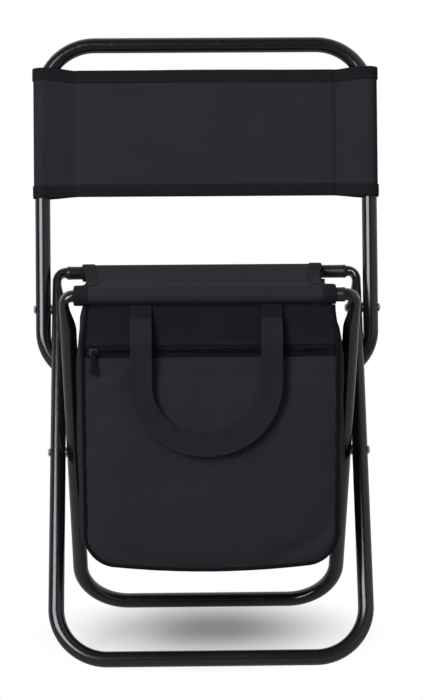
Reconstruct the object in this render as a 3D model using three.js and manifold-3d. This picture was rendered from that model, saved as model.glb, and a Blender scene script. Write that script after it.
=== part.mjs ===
// Folding cooler stool: two crossed tube loops, a swinging backrest and an insulated bag under a sling seat.
// Millimetres, +Z up, the front faces -Y, and the origin lies on the floor under the middle of the stool.
import * as THREE from "three";
import { mergeVertices } from "three/addons/utils/BufferGeometryUtils.js";
import Module from "manifold-3d";

const wasm = await Module();
wasm.setup();

// Stance of the crossed legs, measured between tube axes
const FLOOR_SPAN = 200;
const SEAT_SPAN = 184;
const BAR_RISE = 365;
const OUTER_WIDTH = 328.5;

// Tube stock, its bends and the pinched necks beside the seat bars
const TUBE_DIAMETER = 16;
const TUBE_WALL = 0.9;
const BAR_DIAMETER = 12;
const PINCH_THICKNESS = 9.5;
const PINCH_BREADTH = 14.4;
const NECK_LENGTH = 32;
const FLOOR_BEND = 60;
const SEAT_BEND = 15.5;
const BUTT_GAP = 0.6;
const SPIGOT_LENGTH = 50;
const SLEEVE_WALL = 0.8;

// Pivots
const RIVET_DIAMETER = 5;
const RIVET_HEAD_DIAMETER = 9;
const RIVET_HEAD_HEIGHT = 2.2;
const WASHER_DIAMETER = 11;
const WASHER_THICKNESS = 0.6;
const BACK_PIVOT_DROP = 41;

// Backrest loop and its cloth, measured from the back pivot along the side tubes
const BACK_RISE = 280.5;
const BACK_DROP = 70.7;
const BACK_TOP_BEND = 64;
const BACK_FOOT_BEND = 55;
const PANEL_LOW = 120;
const PANEL_HEIGHT = 133;

// Sewn cloth
const CLOTH = 1;
const TAPE = 0.8;
const TAPE_WIDTH = 12;
const POCKET_REACH = 33;
const SEAM_WIDTH = 4;
const SEAT_OVERHANG = 6;
const SEAT_SHIFT = -5;

// Cooler bag, measured from the front seat bar's axis
const BAG_SIDE_CLEARANCE = 1.75;
const BAG_REAR_CLEARANCE = 13;
const BAG_DROP = 272;
const BAG_LEAD = 6;
const BAG_CORNER = 30;
const BAG_BOW = 5;
const FOAM = 3;
const LINING = 0.8;
const PIPING = 4;

// Zip
const ZIP_DROP = 54;
const ZIP_MOUTH = 12;
const ZIP_LAP = 6;
const ZIP_MARGIN = 1.5;
const ZIP_TAPE = 0.6;
const ZIP_ROW_HEIGHT = 1.6;
const ZIP_ROW_DEPTH = 2;
const ZIP_ROW_GAP = 1.2;
const ZIP_STOP_LENGTH = 2.5;
const SLIDER_LENGTH = 9;
const SLIDER_HEIGHT = 8;
const SLIDER_PLATE = 1.2;
const SLIDER_POST_LENGTH = 2.5;
const BAIL_DIAMETER = 1.6;
const BAIL_REACH = 2.6;
const BAIL_LENGTH = 6.4;
const PULL_KNUCKLE_DIAMETER = 4;
const PULL_LENGTH = 22;
const PULL_WIDTH = 6.5;
const PULL_THICKNESS = 1.2;

// Carry handle
const HANDLE_DROP = 21;
const HANDLE_HANG = 146;
const HANDLE_SPREAD = 127;
const HANDLE_SHIFT = -4;
const HANDLE_WIDTH = 21;
const HANDLE_THICKNESS = 1.6;
const HANDLE_STANDOFF = 8.6;
const HANDLE_EASE = 26;
const HANDLE_BEND = 62;
const PATCH_THICKNESS = 1.2;
const PATCH_GAP = 0.6;

// Clearance between pieces that touch, and fineness of the round forms
const GAP = 0.3;
const TUBE_SIDES = 16;
const ROUND_SIDES = 18;
const TUBE_STEPS = 6;
const BEND_STEPS = 8;
const NECK_STEPS = 4;
const BOW_STEPS = 4;
const EASE_STEPS = 4;
const DOME_STEPS = 4;
const PIPING_SIDES = 8;
const STRAP_SIDES = 4;
const WELD = 1e-4;

// Long enough for a cutting tool to pass the stool on any side
const BEYOND = 500;

// Places that follow from the driving sizes
const TUBE_RADIUS = TUBE_DIAMETER / 2;
const BAR_RADIUS = BAR_DIAMETER / 2;
const SLEEVE_RADIUS = BAR_RADIUS + GAP + SLEEVE_WALL;
const PIVOT_GAP = WASHER_THICKNESS + 2 * GAP;
const INNER_WIDTH = OUTER_WIDTH - 2 * (TUBE_DIAMETER + PIVOT_GAP);
const BACK_WIDTH = OUTER_WIDTH + 2 * (TUBE_DIAMETER + PIVOT_GAP);
const HALF_STRIDE = (FLOOR_SPAN + SEAT_SPAN) / 2;
const LEAN = Math.atan2(HALF_STRIDE, BAR_RISE);
const LEG_LENGTH = Math.hypot(HALF_STRIDE, BAR_RISE);
const PIVOT_ALONG = (LEG_LENGTH * FLOOR_SPAN) / (FLOOR_SPAN + SEAT_SPAN);
const BACK_PIVOT_ALONG = LEG_LENGTH - BACK_PIVOT_DROP;
const FLOOR_AXIS = TUBE_RADIUS * Math.cos(Math.PI / TUBE_SIDES);
const RECLINE = LEAN - restAngle();
const FRONT_BAR_Y = FLOOR_SPAN - HALF_STRIDE;
const BACK_PIVOT_Y = BACK_PIVOT_ALONG * Math.sin(LEAN);
const LOWER_BAR_Y = BACK_PIVOT_Y - BACK_DROP * Math.sin(RECLINE);
const SEAT_POCKET = SLEEVE_RADIUS + GAP;
const ROLL_RADIUS = SEAT_POCKET + CLOTH + GAP + TAPE;
const RIVET_STAND = GAP + RIVET_HEAD_HEIGHT;
const PIPING_STAND = GAP + PIPING;
const BAG_WIDTH = INNER_WIDTH - 2 * (TUBE_DIAMETER + RIVET_STAND + BAG_SIDE_CLEARANCE + PIPING_STAND);
const SEAT_WIDTH = BAG_WIDTH + 2 * SEAT_OVERHANG;
const BAG_FRONT = -BAG_LEAD;
const BAG_BACK = LOWER_BAR_Y - TUBE_RADIUS - BAG_REAR_CLEARANCE - FRONT_BAR_Y;
const BAG_TOP = SEAT_POCKET - TAPE - 2 * GAP;
const ZIP_PLANE = BAG_FRONT + CLOTH + GAP + ZIP_TAPE / 2;
const ZIP_HALF = BAG_WIDTH / 2 - ZIP_MARGIN;

// The angle between backrest and outer legs when the lower bends rest on the backs of those legs.
function restAngle() {
  const legX = OUTER_WIDTH / 2 - TUBE_RADIUS;
  const bendX = BACK_WIDTH / 2 - BACK_FOOT_BEND;
  const bendDrop = BACK_DROP + TUBE_RADIUS - BACK_FOOT_BEND;
  const bendRadius = BACK_FOOT_BEND - TUBE_RADIUS;
  let steepest = 0;
  for (let degree = 0; degree <= 90; degree++) {
    const angle = THREE.MathUtils.degToRad(degree);
    const across = bendX + bendRadius * Math.cos(angle) - legX;
    const room = (TUBE_DIAMETER + GAP) ** 2 - across ** 2;
    if (room > 0) {
      const drop = bendDrop + bendRadius * Math.sin(angle);
      steepest = Math.max(steepest, Math.sqrt(room) / drop);
    }
  }
  return Math.asin(steepest);
}

// Booleans
function solidOf(geometry) {
  const bare = new THREE.BufferGeometry();
  bare.setAttribute("position", geometry.getAttribute("position").clone());
  bare.setIndex(geometry.index);
  const merged = mergeVertices(bare, WELD);
  return new wasm.Manifold(
    new wasm.Mesh({
      numProp: 3,
      vertProperties: new Float32Array(merged.attributes.position.array),
      triVerts: new Uint32Array(merged.index.array),
    }),
  );
}

function geometryOf(solid) {
  const mesh = solid.getMesh();
  return closedGeometry(Array.from(mesh.vertProperties), Array.from(mesh.triVerts));
}

function cut(geometry, ...tools) {
  const left = tools.reduce((rest, tool) => rest.subtract(solidOf(tool)), solidOf(geometry));
  return geometryOf(left);
}

function join(geometry, ...others) {
  const whole = others.reduce((sum, other) => sum.add(solidOf(other)), solidOf(geometry));
  return geometryOf(whole);
}

// Basic forms
function closedGeometry(points, faces) {
  const geometry = new THREE.BufferGeometry();
  geometry.setAttribute("position", new THREE.Float32BufferAttribute(points, 3));
  geometry.setIndex(faces);
  geometry.computeVertexNormals();
  return geometry;
}

function block(x, y, z) {
  const size = [x[1] - x[0], y[1] - y[0], z[1] - z[0]];
  const middle = [(x[0] + x[1]) / 2, (y[0] + y[1]) / 2, (z[0] + z[1]) / 2];
  return new THREE.BoxGeometry(...size).translate(...middle);
}

function crossRod(radius, length) {
  return new THREE.CylinderGeometry(radius, radius, length, ROUND_SIDES).rotateZ(Math.PI / 2);
}

// A round tube along X, revolved from its closed wall section.
function crossTube(bore, radius, length) {
  const end = length / 2;
  const wall = [
    [bore, -end],
    [radius, -end],
    [radius, end],
    [bore, end],
    [bore, -end],
  ];
  const profile = wall.map(([r, h]) => new THREE.Vector2(r, h));
  return new THREE.LatheGeometry(profile, ROUND_SIDES).rotateZ(-Math.PI / 2);
}

// A rivet along X with a dome on each end of the grip.
function rivet(grip) {
  const dome = [];
  for (let step = 0; step <= DOME_STEPS; step++) {
    const angle = (step / DOME_STEPS) * (Math.PI / 2);
    const r = (RIVET_HEAD_DIAMETER / 2) * Math.cos(angle);
    dome.push([step === DOME_STEPS ? 0 : r, grip / 2 + RIVET_HEAD_HEIGHT * Math.sin(angle)]);
  }
  const upper = [[RIVET_DIAMETER / 2, grip / 2], ...dome];
  const lower = upper.map(([r, h]) => [r, -h]).reverse();
  const profile = [...lower, ...upper].map(([r, h]) => new THREE.Vector2(r, h));
  return new THREE.LatheGeometry(profile, ROUND_SIDES).rotateZ(-Math.PI / 2);
}

function arc(x, y, radius, from, to) {
  return Array.from({ length: BEND_STEPS + 1 }, (_, step) => {
    const angle = from + ((to - from) * step) / BEND_STEPS;
    return new THREE.Vector2(x + radius * Math.cos(angle), y + radius * Math.sin(angle));
  });
}

const mirrored = (points) => points.map((point) => new THREE.Vector2(-point.x, point.y)).reverse();

function extrude(shape, depth) {
  return new THREE.ExtrudeGeometry(shape, { depth, bevelEnabled: false });
}

// An outline drawn in X and Z, given a thickness from one Y to another.
function slab(outline, front, back) {
  return extrude(new THREE.Shape(outline), back - front).rotateX(Math.PI / 2).translate(0, back, 0);
}

// Skins cross-sections into a tube. Each station has its centre, the direction out of the loop in X and Z,
// and half sizes along that direction and along Y. With a wall the tube is hollow and open at both ends.
function skin(stations, sides, turn, wall = 0) {
  const points = [];
  const faces = [];
  const layers = wall > 0 ? [0, wall] : [0];
  for (const inset of layers) {
    for (const station of stations) {
      for (let side = 0; side < sides; side++) {
        const angle = turn + ((2 * side + 1) * Math.PI) / sides;
        const out = (station.deep - inset) * Math.cos(angle);
        const across = (station.broad - inset) * Math.sin(angle);
        points.push(station.x + station.nx * out, station.y + across, station.z + station.nz * out);
      }
    }
  }
  const at = (layer, ring, side) => (layer * stations.length + ring) * sides + (side % sides);
  const last = stations.length - 1;
  for (let side = 0; side < sides; side++) {
    for (let ring = 0; ring < last; ring++) {
      for (let layer = 0; layer < layers.length; layer++) {
        const quad = [at(layer, ring, side), at(layer, ring, side + 1)];
        quad.push(at(layer, ring + 1, side + 1), at(layer, ring + 1, side));
        if (layer === 1) quad.reverse();
        faces.push(quad[0], quad[1], quad[3], quad[1], quad[2], quad[3]);
      }
    }
    if (wall > 0) {
      const [a, b] = [at(0, last, side), at(0, last, side + 1)];
      const [c, d] = [at(1, last, side), at(1, last, side + 1)];
      faces.push(a, b, c, b, d, c);
      const [e, f] = [at(0, 0, side), at(0, 0, side + 1)];
      const [g, h] = [at(1, 0, side), at(1, 0, side + 1)];
      faces.push(f, e, g, h, f, g);
    } else if (side > 0 && side < sides - 1) {
      faces.push(at(0, last, 0), at(0, last, side), at(0, last, side + 1));
      faces.push(at(0, 0, 0), at(0, 0, side + 1), at(0, 0, side));
    }
  }
  return closedGeometry(points, faces);
}

const otherSide = (stations) => stations.map((s) => ({ ...s, x: -s.x, nx: -s.nx })).reverse();

// Tube loops
const smooth = (t) => THREE.MathUtils.smoothstep(t, 0, 1);

// Half sizes of a leg tube at a distance from the end of its seat bar: bar, pinched bend, neck, full tube.
function legSection(along) {
  const bend = (SEAT_BEND * Math.PI) / 2;
  const pinched = smooth(along / (bend / 2));
  const opened = smooth((along - bend) / NECK_LENGTH);
  const mix = THREE.MathUtils.lerp;
  return {
    deep: mix(mix(BAR_RADIUS, PINCH_THICKNESS / 2, pinched), TUBE_RADIUS, opened),
    broad: mix(mix(BAR_RADIUS, PINCH_BREADTH / 2, pinched), TUBE_RADIUS, opened),
  };
}

const plainSection = () => ({ deep: TUBE_RADIUS, broad: TUBE_RADIUS });

// Stations round a rectangular loop, from the butt joint in its upper bar down one side and up the other.
// The outside edge keeps its line, and the section thins from the inside.
function loopStations(width, low, high, lowBend, highBend, neck, sectionAt) {
  const half = [];
  const put = (x, z, angle, along) => {
    const { deep, broad } = sectionAt(along);
    const nx = Math.cos(angle);
    const nz = Math.sin(angle);
    half.push({ x: x - nx * deep, y: 0, z: z - nz * deep, nx, nz, deep, broad });
  };
  const edge = -width / 2;
  const bendLength = (highBend * Math.PI) / 2;
  put(-BUTT_GAP / 2, high, Math.PI / 2, 0);
  for (let step = 0; step <= TUBE_STEPS; step++) {
    const angle = Math.PI / 2 + ((step / TUBE_STEPS) * Math.PI) / 2;
    const x = edge + highBend + highBend * Math.cos(angle);
    put(x, high - highBend + highBend * Math.sin(angle), angle, (bendLength * step) / TUBE_STEPS);
  }
  const neckSteps = neck > 0 ? NECK_STEPS : 0;
  for (let step = 1; step <= neckSteps; step++) {
    const down = (neck * step) / neckSteps;
    put(edge, high - highBend - down, Math.PI, bendLength + down);
  }
  for (let step = 0; step <= TUBE_STEPS; step++) {
    const angle = Math.PI + ((step / TUBE_STEPS) * Math.PI) / 2;
    const x = edge + lowBend + lowBend * Math.cos(angle);
    put(x, low + lowBend + lowBend * Math.sin(angle), angle, Infinity);
  }
  return [...half, ...otherSide(half)];
}

// A leg loop in its own plane, from the floor bar's axis at the origin up to the seat bar, with pivot bores.
// The turn sets one flat of the floor bar level with the floor.
function legLoop(width, turn, boresAlong) {
  const high = LEG_LENGTH + BAR_RADIUS;
  const stations = loopStations(width, -TUBE_RADIUS, high, FLOOR_BEND, SEAT_BEND, NECK_LENGTH, legSection);
  return cut(skin(stations, TUBE_SIDES, turn, TUBE_WALL), ...boresAlong.map(pivotBore));
}

function pivotBore(along) {
  return crossRod(RIVET_DIAMETER / 2 + GAP, BEYOND).translate(0, 0, along);
}

// The backrest loop is drawn head down, so that its butt joint lies in the hidden lower bar.
function backrestLoop() {
  const low = -BACK_RISE - TUBE_RADIUS;
  const high = BACK_DROP + TUBE_RADIUS;
  const stations = loopStations(BACK_WIDTH, low, high, BACK_TOP_BEND, BACK_FOOT_BEND, 0, plainSection);
  const loop = skin(stations, TUBE_SIDES, 0, TUBE_WALL).rotateY(Math.PI);
  return cut(loop, pivotBore(0));
}

function spigot(tubeRadius) {
  const bore = (tubeRadius - TUBE_WALL) * Math.cos(Math.PI / TUBE_SIDES);
  return crossRod(bore - GAP, SPIGOT_LENGTH);
}

function barSleeve(width) {
  return crossTube(BAR_RADIUS + GAP, SLEEVE_RADIUS, width - 2 * (SEAT_BEND + GAP));
}

// Sling cloth: a flat face over two bars, with each end turned round its bar and sewn back to the face.
// Drawn with P between the bars and Q towards the face. One pocket goes from its seam round the bar to the
// face, with room for a bar that moves inwards along the pocket.
function pocketOutline(barP, seamP, seamQ, radius, room) {
  const nearP = barP - room;
  const run = nearP - seamP;
  const slope = Math.atan2(-seamQ, run) - Math.asin(radius / Math.hypot(run, seamQ));
  const under = arc(nearP, 0, radius, slope - Math.PI / 2, -Math.PI / 2);
  if (room === 0) under.pop();
  return [new THREE.Vector2(seamP, seamQ), ...under, ...arc(barP, 0, radius, -Math.PI / 2, Math.PI / 2)];
}

// The offset moves the whole outline outwards.
function slingOutline({ halfSpan, pocket, room }, offset) {
  const seam = halfSpan - POCKET_REACH;
  const right = pocketOutline(halfSpan, seam, pocket - offset, pocket + CLOTH + offset, room);
  return [...right, ...mirrored(right)];
}

function slingCloth(sling, width) {
  const { halfSpan, pocket, room } = sling;
  const shape = new THREE.Shape(slingOutline(sling, 0));
  const seam = halfSpan - POCKET_REACH + SEAM_WIDTH;
  const hole = pocketOutline(halfSpan, seam, pocket - GAP, pocket, room);
  shape.holes.push(new THREE.Path(hole), new THREE.Path(mirrored(hole)));
  return extrude(shape, width);
}

// Binding tape that goes all round the sling along one of its cut edges.
function slingTape(sling) {
  const shape = new THREE.Shape(slingOutline(sling, GAP + TAPE));
  shape.holes.push(new THREE.Path(slingOutline(sling, GAP)));
  return extrude(shape, TAPE_WIDTH);
}

// How far the inside of the backrest tube has bent inwards at the panel's upper edge.
function backTubeDrift() {
  const intoBend = Math.max(0, PANEL_LOW + PANEL_HEIGHT - (BACK_RISE + TUBE_RADIUS - BACK_TOP_BEND));
  const radius = BACK_TOP_BEND - TUBE_DIAMETER;
  return radius - Math.sqrt(radius ** 2 - intoBend ** 2);
}

// The seat's P runs along Y and its face looks up. The backrest's P runs along X and its face looks forward.
const SEAT_AXES = new THREE.Matrix4().makeBasis(
  new THREE.Vector3(0, 1, 0),
  new THREE.Vector3(0, 0, 1),
  new THREE.Vector3(1, 0, 0),
);

// Bag walls: one outline with rounded lower corners and a bowed bottom, stepped inwards layer by layer.
function bagEdge(inset, top) {
  const half = BAG_WIDTH / 2 - inset;
  const low = -BAG_DROP + inset;
  const corner = BAG_CORNER - inset;
  const flat = half - corner;
  const left = [new THREE.Vector2(-half, top)];
  left.push(...arc(-flat, low + BAG_BOW + corner, corner, Math.PI, 1.5 * Math.PI));
  for (let step = 1; step < BOW_STEPS; step++) {
    const out = 1 - step / BOW_STEPS;
    left.push(new THREE.Vector2(-flat * out, low + BAG_BOW * out ** 2));
  }
  return [...left, new THREE.Vector2(0, low), ...mirrored(left)];
}

function bagPanel(inset, top, front, back) {
  return slab(bagEdge(inset, top), front, back);
}

// Clears the front seat pocket and its binding.
function pocketNotch() {
  const deep = [-BEYOND, POCKET_REACH + CLOTH + TAPE + 2 * GAP];
  return block([-BEYOND, BEYOND], deep, [-ROLL_RADIUS - GAP, BEYOND]);
}

function bagGusset() {
  const outer = bagEdge(0, BAG_TOP);
  const inner = bagEdge(CLOTH, BAG_TOP).reverse();
  const strip = slab([...outer, ...inner], BAG_FRONT + CLOTH + GAP, BAG_BACK - CLOTH - GAP);
  return cut(strip, pocketNotch());
}

// An open tub that follows the bag walls at an inset, with its front wall ended under the zip.
function bagTub(inset, wall) {
  const inside = inset + wall;
  const outer = bagPanel(inset, BAG_TOP, BAG_FRONT + inset, BAG_BACK - inset);
  const hollow = bagPanel(inside, BEYOND, BAG_FRONT + inside, BAG_BACK - inside);
  const sill = -ZIP_DROP - ZIP_MOUTH / 2 - ZIP_LAP - GAP;
  const mouth = block([-BEYOND, BEYOND], [-BEYOND, BAG_FRONT + inside + GAP], [sill, BEYOND]);
  return cut(outer, hollow, mouth, pocketNotch());
}

// Piping along the bag's outline: each station's outward direction is square to its neighbours' chord.
function bagPiping(y, top) {
  const path = bagEdge(-PIPING / 2 - GAP, top);
  const stations = path.map((point, index) => {
    const before = path[Math.max(index - 1, 0)];
    const after = path[Math.min(index + 1, path.length - 1)];
    const along = after.clone().sub(before).normalize();
    const half = PIPING / 2;
    return { x: point.x, y, z: point.y, nx: along.y, nz: -along.x, deep: half, broad: half };
  });
  return skin(stations, PIPING_SIDES, 0);
}

function bagHeader() {
  const half = BAG_WIDTH / 2;
  const backFace = BAG_LEAD - CLOTH;
  const top = -Math.sqrt(ROLL_RADIUS ** 2 - backFace ** 2) - GAP;
  return block([-half, half], [BAG_FRONT, BAG_FRONT + CLOTH], [-ZIP_DROP + ZIP_MOUTH / 2, top]);
}

// Zip pieces about the zip line, with the side telling upper from lower
function zipTape(side) {
  const near = ZIP_ROW_GAP / 2 + ZIP_ROW_HEIGHT + GAP;
  const far = ZIP_MOUTH / 2 + ZIP_LAP;
  const z = side > 0 ? [near, far] : [-far, -near];
  return block([-ZIP_HALF, ZIP_HALF], [-ZIP_TAPE / 2, ZIP_TAPE / 2], z);
}

function zipRow(side) {
  const near = ZIP_ROW_GAP / 2;
  const far = near + ZIP_ROW_HEIGHT;
  const z = side > 0 ? [near, far] : [-far, -near];
  const half = ZIP_HALF - ZIP_STOP_LENGTH - GAP;
  return block([-half, half], [-ZIP_ROW_DEPTH / 2, ZIP_ROW_DEPTH / 2], z);
}

function zipStop() {
  const high = ZIP_ROW_GAP / 2 + ZIP_ROW_HEIGHT;
  const half = ZIP_STOP_LENGTH / 2;
  return block([-half, half], [-ZIP_ROW_DEPTH / 2, ZIP_ROW_DEPTH / 2], [-high, high]);
}

// The slider's two plates are held together by a post that runs between the rows, and a bail stands in front.
const PLATE_BACK = -ZIP_ROW_DEPTH / 2 - GAP;
const PLATE_FRONT = PLATE_BACK - SLIDER_PLATE;
const BAIL_AXIS = PLATE_FRONT - BAIL_REACH;

function zipSlider() {
  const half = SLIDER_LENGTH / 2;
  const x = [-half, half];
  const z = [-SLIDER_HEIGHT / 2, SLIDER_HEIGHT / 2];
  const rear = -PLATE_BACK;
  const front = block(x, [PLATE_FRONT, PLATE_BACK], z);
  const back = block(x, [rear, rear + SLIDER_PLATE], z);
  const postX = [-half, -half + SLIDER_POST_LENGTH];
  const postHalf = ZIP_ROW_GAP / 2 - GAP;
  const bite = SLIDER_PLATE / 2;
  const post = block(postX, [PLATE_BACK - bite, rear + bite], [-postHalf, postHalf]);
  const legs = [-1, 1].map((side) => {
    const middle = (side * BAIL_LENGTH) / 2;
    const legX = [middle - BAIL_DIAMETER / 2, middle + BAIL_DIAMETER / 2];
    const legY = [BAIL_AXIS - BAIL_DIAMETER / 2, PLATE_FRONT + bite];
    return block(legX, legY, [-BAIL_DIAMETER / 2, BAIL_DIAMETER / 2]);
  });
  const bar = crossRod(BAIL_DIAMETER / 2, BAIL_LENGTH).translate(0, BAIL_AXIS, 0);
  return join(front, post, back, ...legs, bar);
}

// The pull hangs from the bail by its knuckle and widens to a rounded end.
function zipPull() {
  const knuckleLength = BAIL_LENGTH - BAIL_DIAMETER - 2 * GAP;
  const knuckle = crossRod(PULL_KNUCKLE_DIAMETER / 2, knuckleLength);
  const bore = crossRod(BAIL_DIAMETER / 2 + GAP, BEYOND);
  const half = PULL_WIDTH / 2;
  const edge = new THREE.Vector2(-knuckleLength / 2, 0);
  const tab = [edge, ...arc(0, half - PULL_LENGTH, half, Math.PI, 2 * Math.PI), ...mirrored([edge])];
  return cut(join(knuckle, slab(tab, -PULL_THICKNESS / 2, PULL_THICKNESS / 2)), bore);
}

// The handle leaves its sewn patches, eases away from the bag and hangs in a round-cornered loop.
function carryHandle() {
  const half = [];
  const outX = -HANDLE_SPREAD / 2;
  const put = (x, y, z, angle) => {
    const deep = (HANDLE_WIDTH / 2) * Math.SQRT2;
    const broad = (HANDLE_THICKNESS / 2) * Math.SQRT2;
    half.push({ x, y, z, nx: Math.cos(angle), nz: Math.sin(angle), deep, broad });
  };
  for (let step = 0; step <= EASE_STEPS; step++) {
    const t = step / EASE_STEPS;
    put(outX, (HANDLE_REST - HANDLE_HINGE) * smooth(t), -HANDLE_EASE * t, Math.PI);
  }
  const bottom = HANDLE_DROP - HANDLE_HANG;
  for (let step = 0; step <= BEND_STEPS; step++) {
    const angle = Math.PI + ((step / BEND_STEPS) * Math.PI) / 2;
    const x = outX + HANDLE_BEND + HANDLE_BEND * Math.cos(angle);
    put(x, HANDLE_REST - HANDLE_HINGE, bottom + HANDLE_BEND + HANDLE_BEND * Math.sin(angle), angle);
  }
  return skin([...half, ...otherSide(half)], STRAP_SIDES, 0);
}

const PATCH_FRONT = BAG_FRONT - GAP - PATCH_THICKNESS;
const HANDLE_HINGE = PATCH_FRONT - PATCH_GAP - HANDLE_THICKNESS / 2;
const HANDLE_REST = BAG_FRONT - HANDLE_STANDOFF - HANDLE_THICKNESS / 2;

function handlePatch() {
  const top = -Math.sqrt(ROLL_RADIUS ** 2 - BAG_LEAD ** 2) - GAP;
  const half = HANDLE_WIDTH / 2;
  return block([-half, half], [PATCH_FRONT, BAG_FRONT - GAP], [-HANDLE_DROP - CLOTH, top]);
}

// Finishes
const finish = (color, roughness, metalness) => () =>
  new THREE.MeshStandardMaterial({ color, roughness, metalness });
const BLACK_PAINT = finish(0x0e0e10, 0.25, 0.1);
const BARE_STEEL = finish(0x77777a, 0.4, 0.9);
const BLACK_PLASTIC = finish(0x151517, 0.3, 0);
const GREY_NYLON = finish(0x3a3a3c, 0.5, 0);
const CHARCOAL_CLOTH = finish(0x2b282e, 0.85, 0);
const BLACK_TAPE = finish(0x201e24, 0.8, 0);
const WHITE_FOAM = finish(0xe8e8e4, 0.9, 0);
const SILVER_LINING = finish(0xb4b6b8, 0.4, 0.3);
const DARK_METAL = finish(0x2c2c2e, 0.35, 0.8);

function piece(parent, name, geometry, material, x = 0, y = 0, z = 0) {
  const mesh = new THREE.Mesh(geometry, material());
  mesh.name = name;
  mesh.position.set(x, y, z);
  parent.add(mesh);
}

function frameGroup(parent, y, z, tilt) {
  const group = new THREE.Group();
  group.position.set(0, y, z);
  group.rotation.x = tilt;
  parent.add(group);
  return group;
}

// A rivet and a washer on each side, through a tube that ends at the outer edge and the next one inside it.
function pivotPair(parent, name, outerEdge, along) {
  const grip = 2 * TUBE_DIAMETER + PIVOT_GAP + 2 * GAP;
  const middle = outerEdge - TUBE_DIAMETER - PIVOT_GAP / 2;
  const washer = [RIVET_DIAMETER / 2 + GAP, WASHER_DIAMETER / 2, WASHER_THICKNESS];
  for (const [hand, side] of [
    ["left", -1],
    ["right", 1],
  ]) {
    piece(parent, `${name}_rivet_${hand}`, rivet(grip), BARE_STEEL, side * middle, 0, along);
    piece(parent, `${name}_washer_${hand}`, crossTube(...washer), GREY_NYLON, side * middle, 0, along);
  }
}

// Assembly
const stool = new THREE.Group();

const outerFrame = frameGroup(stool, 0, FLOOR_AXIS, -LEAN);
piece(outerFrame, "outer_leg_loop", legLoop(OUTER_WIDTH, LEAN, [PIVOT_ALONG, BACK_PIVOT_ALONG]), BLACK_PAINT);
piece(outerFrame, "outer_loop_spigot", spigot(BAR_RADIUS), BARE_STEEL, 0, 0, LEG_LENGTH);
piece(outerFrame, "rear_bar_sleeve", barSleeve(OUTER_WIDTH), BLACK_PLASTIC, 0, 0, LEG_LENGTH);
pivotPair(outerFrame, "leg", OUTER_WIDTH / 2, PIVOT_ALONG);
pivotPair(outerFrame, "back", BACK_WIDTH / 2, BACK_PIVOT_ALONG);

const innerFrame = frameGroup(stool, FLOOR_SPAN, FLOOR_AXIS, LEAN);
piece(innerFrame, "inner_leg_loop", legLoop(INNER_WIDTH, -LEAN, [PIVOT_ALONG]), BLACK_PAINT);
piece(innerFrame, "inner_loop_spigot", spigot(BAR_RADIUS), BARE_STEEL, 0, 0, LEG_LENGTH);
piece(innerFrame, "front_bar_sleeve", barSleeve(INNER_WIDTH), BLACK_PLASTIC, 0, 0, LEG_LENGTH);

const backPivotZ = FLOOR_AXIS + BACK_PIVOT_ALONG * Math.cos(LEAN);
const backrest = frameGroup(stool, BACK_PIVOT_Y, backPivotZ, -RECLINE);
piece(backrest, "backrest_loop", backrestLoop(), BLACK_PAINT);
piece(backrest, "backrest_spigot", spigot(TUBE_RADIUS), BARE_STEEL, 0, 0, -BACK_DROP);
const backSling = {
  halfSpan: BACK_WIDTH / 2 - TUBE_RADIUS,
  pocket: TUBE_RADIUS + GAP,
  room: backTubeDrift(),
};
const backCloth = slingCloth(backSling, PANEL_HEIGHT).rotateZ(Math.PI);
const backTape = slingTape(backSling).rotateZ(Math.PI);
const panelTop = PANEL_LOW + PANEL_HEIGHT;
piece(backrest, "backrest_panel", backCloth, CHARCOAL_CLOTH, 0, 0, PANEL_LOW);
piece(backrest, "backrest_tape_bottom", backTape, BLACK_TAPE, 0, 0, PANEL_LOW);
piece(backrest, "backrest_tape_top", backTape.clone(), BLACK_TAPE, 0, 0, panelTop - TAPE_WIDTH);

const seatZ = FLOOR_AXIS + BAR_RISE;
const seat = frameGroup(stool, FLOOR_SPAN / 2, seatZ, 0);
const seatSling = { halfSpan: SEAT_SPAN / 2, pocket: SEAT_POCKET, room: 0 };
const seatCloth = slingCloth(seatSling, SEAT_WIDTH).applyMatrix4(SEAT_AXES);
const seatTape = slingTape(seatSling).applyMatrix4(SEAT_AXES);
const seatLeft = SEAT_SHIFT - SEAT_WIDTH / 2;
piece(seat, "seat_panel", seatCloth, CHARCOAL_CLOTH, seatLeft);
piece(seat, "seat_tape_left", seatTape, BLACK_TAPE, seatLeft);
piece(seat, "seat_tape_right", seatTape.clone(), BLACK_TAPE, seatLeft + SEAT_WIDTH - TAPE_WIDTH);

const bag = frameGroup(stool, FRONT_BAR_Y, seatZ, 0);
const zipSill = -ZIP_DROP - ZIP_MOUTH / 2;
piece(bag, "bag_header", bagHeader(), CHARCOAL_CLOTH);
piece(bag, "bag_front_panel", bagPanel(0, zipSill, BAG_FRONT, BAG_FRONT + CLOTH), CHARCOAL_CLOTH);
piece(bag, "bag_back_panel", bagPanel(0, BAG_TOP, BAG_BACK - CLOTH, BAG_BACK), CHARCOAL_CLOTH);
piece(bag, "bag_gusset", bagGusset(), CHARCOAL_CLOTH);
const foamInset = CLOTH + GAP;
piece(bag, "bag_foam", bagTub(foamInset, FOAM), WHITE_FOAM);
piece(bag, "bag_lining", bagTub(foamInset + FOAM + GAP, LINING), SILVER_LINING);
piece(bag, "piping_front", bagPiping(BAG_FRONT + CLOTH, -ROLL_RADIUS - GAP), BLACK_TAPE);
piece(bag, "piping_rear", bagPiping(BAG_BACK - CLOTH, BAG_TOP), BLACK_TAPE);

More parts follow.
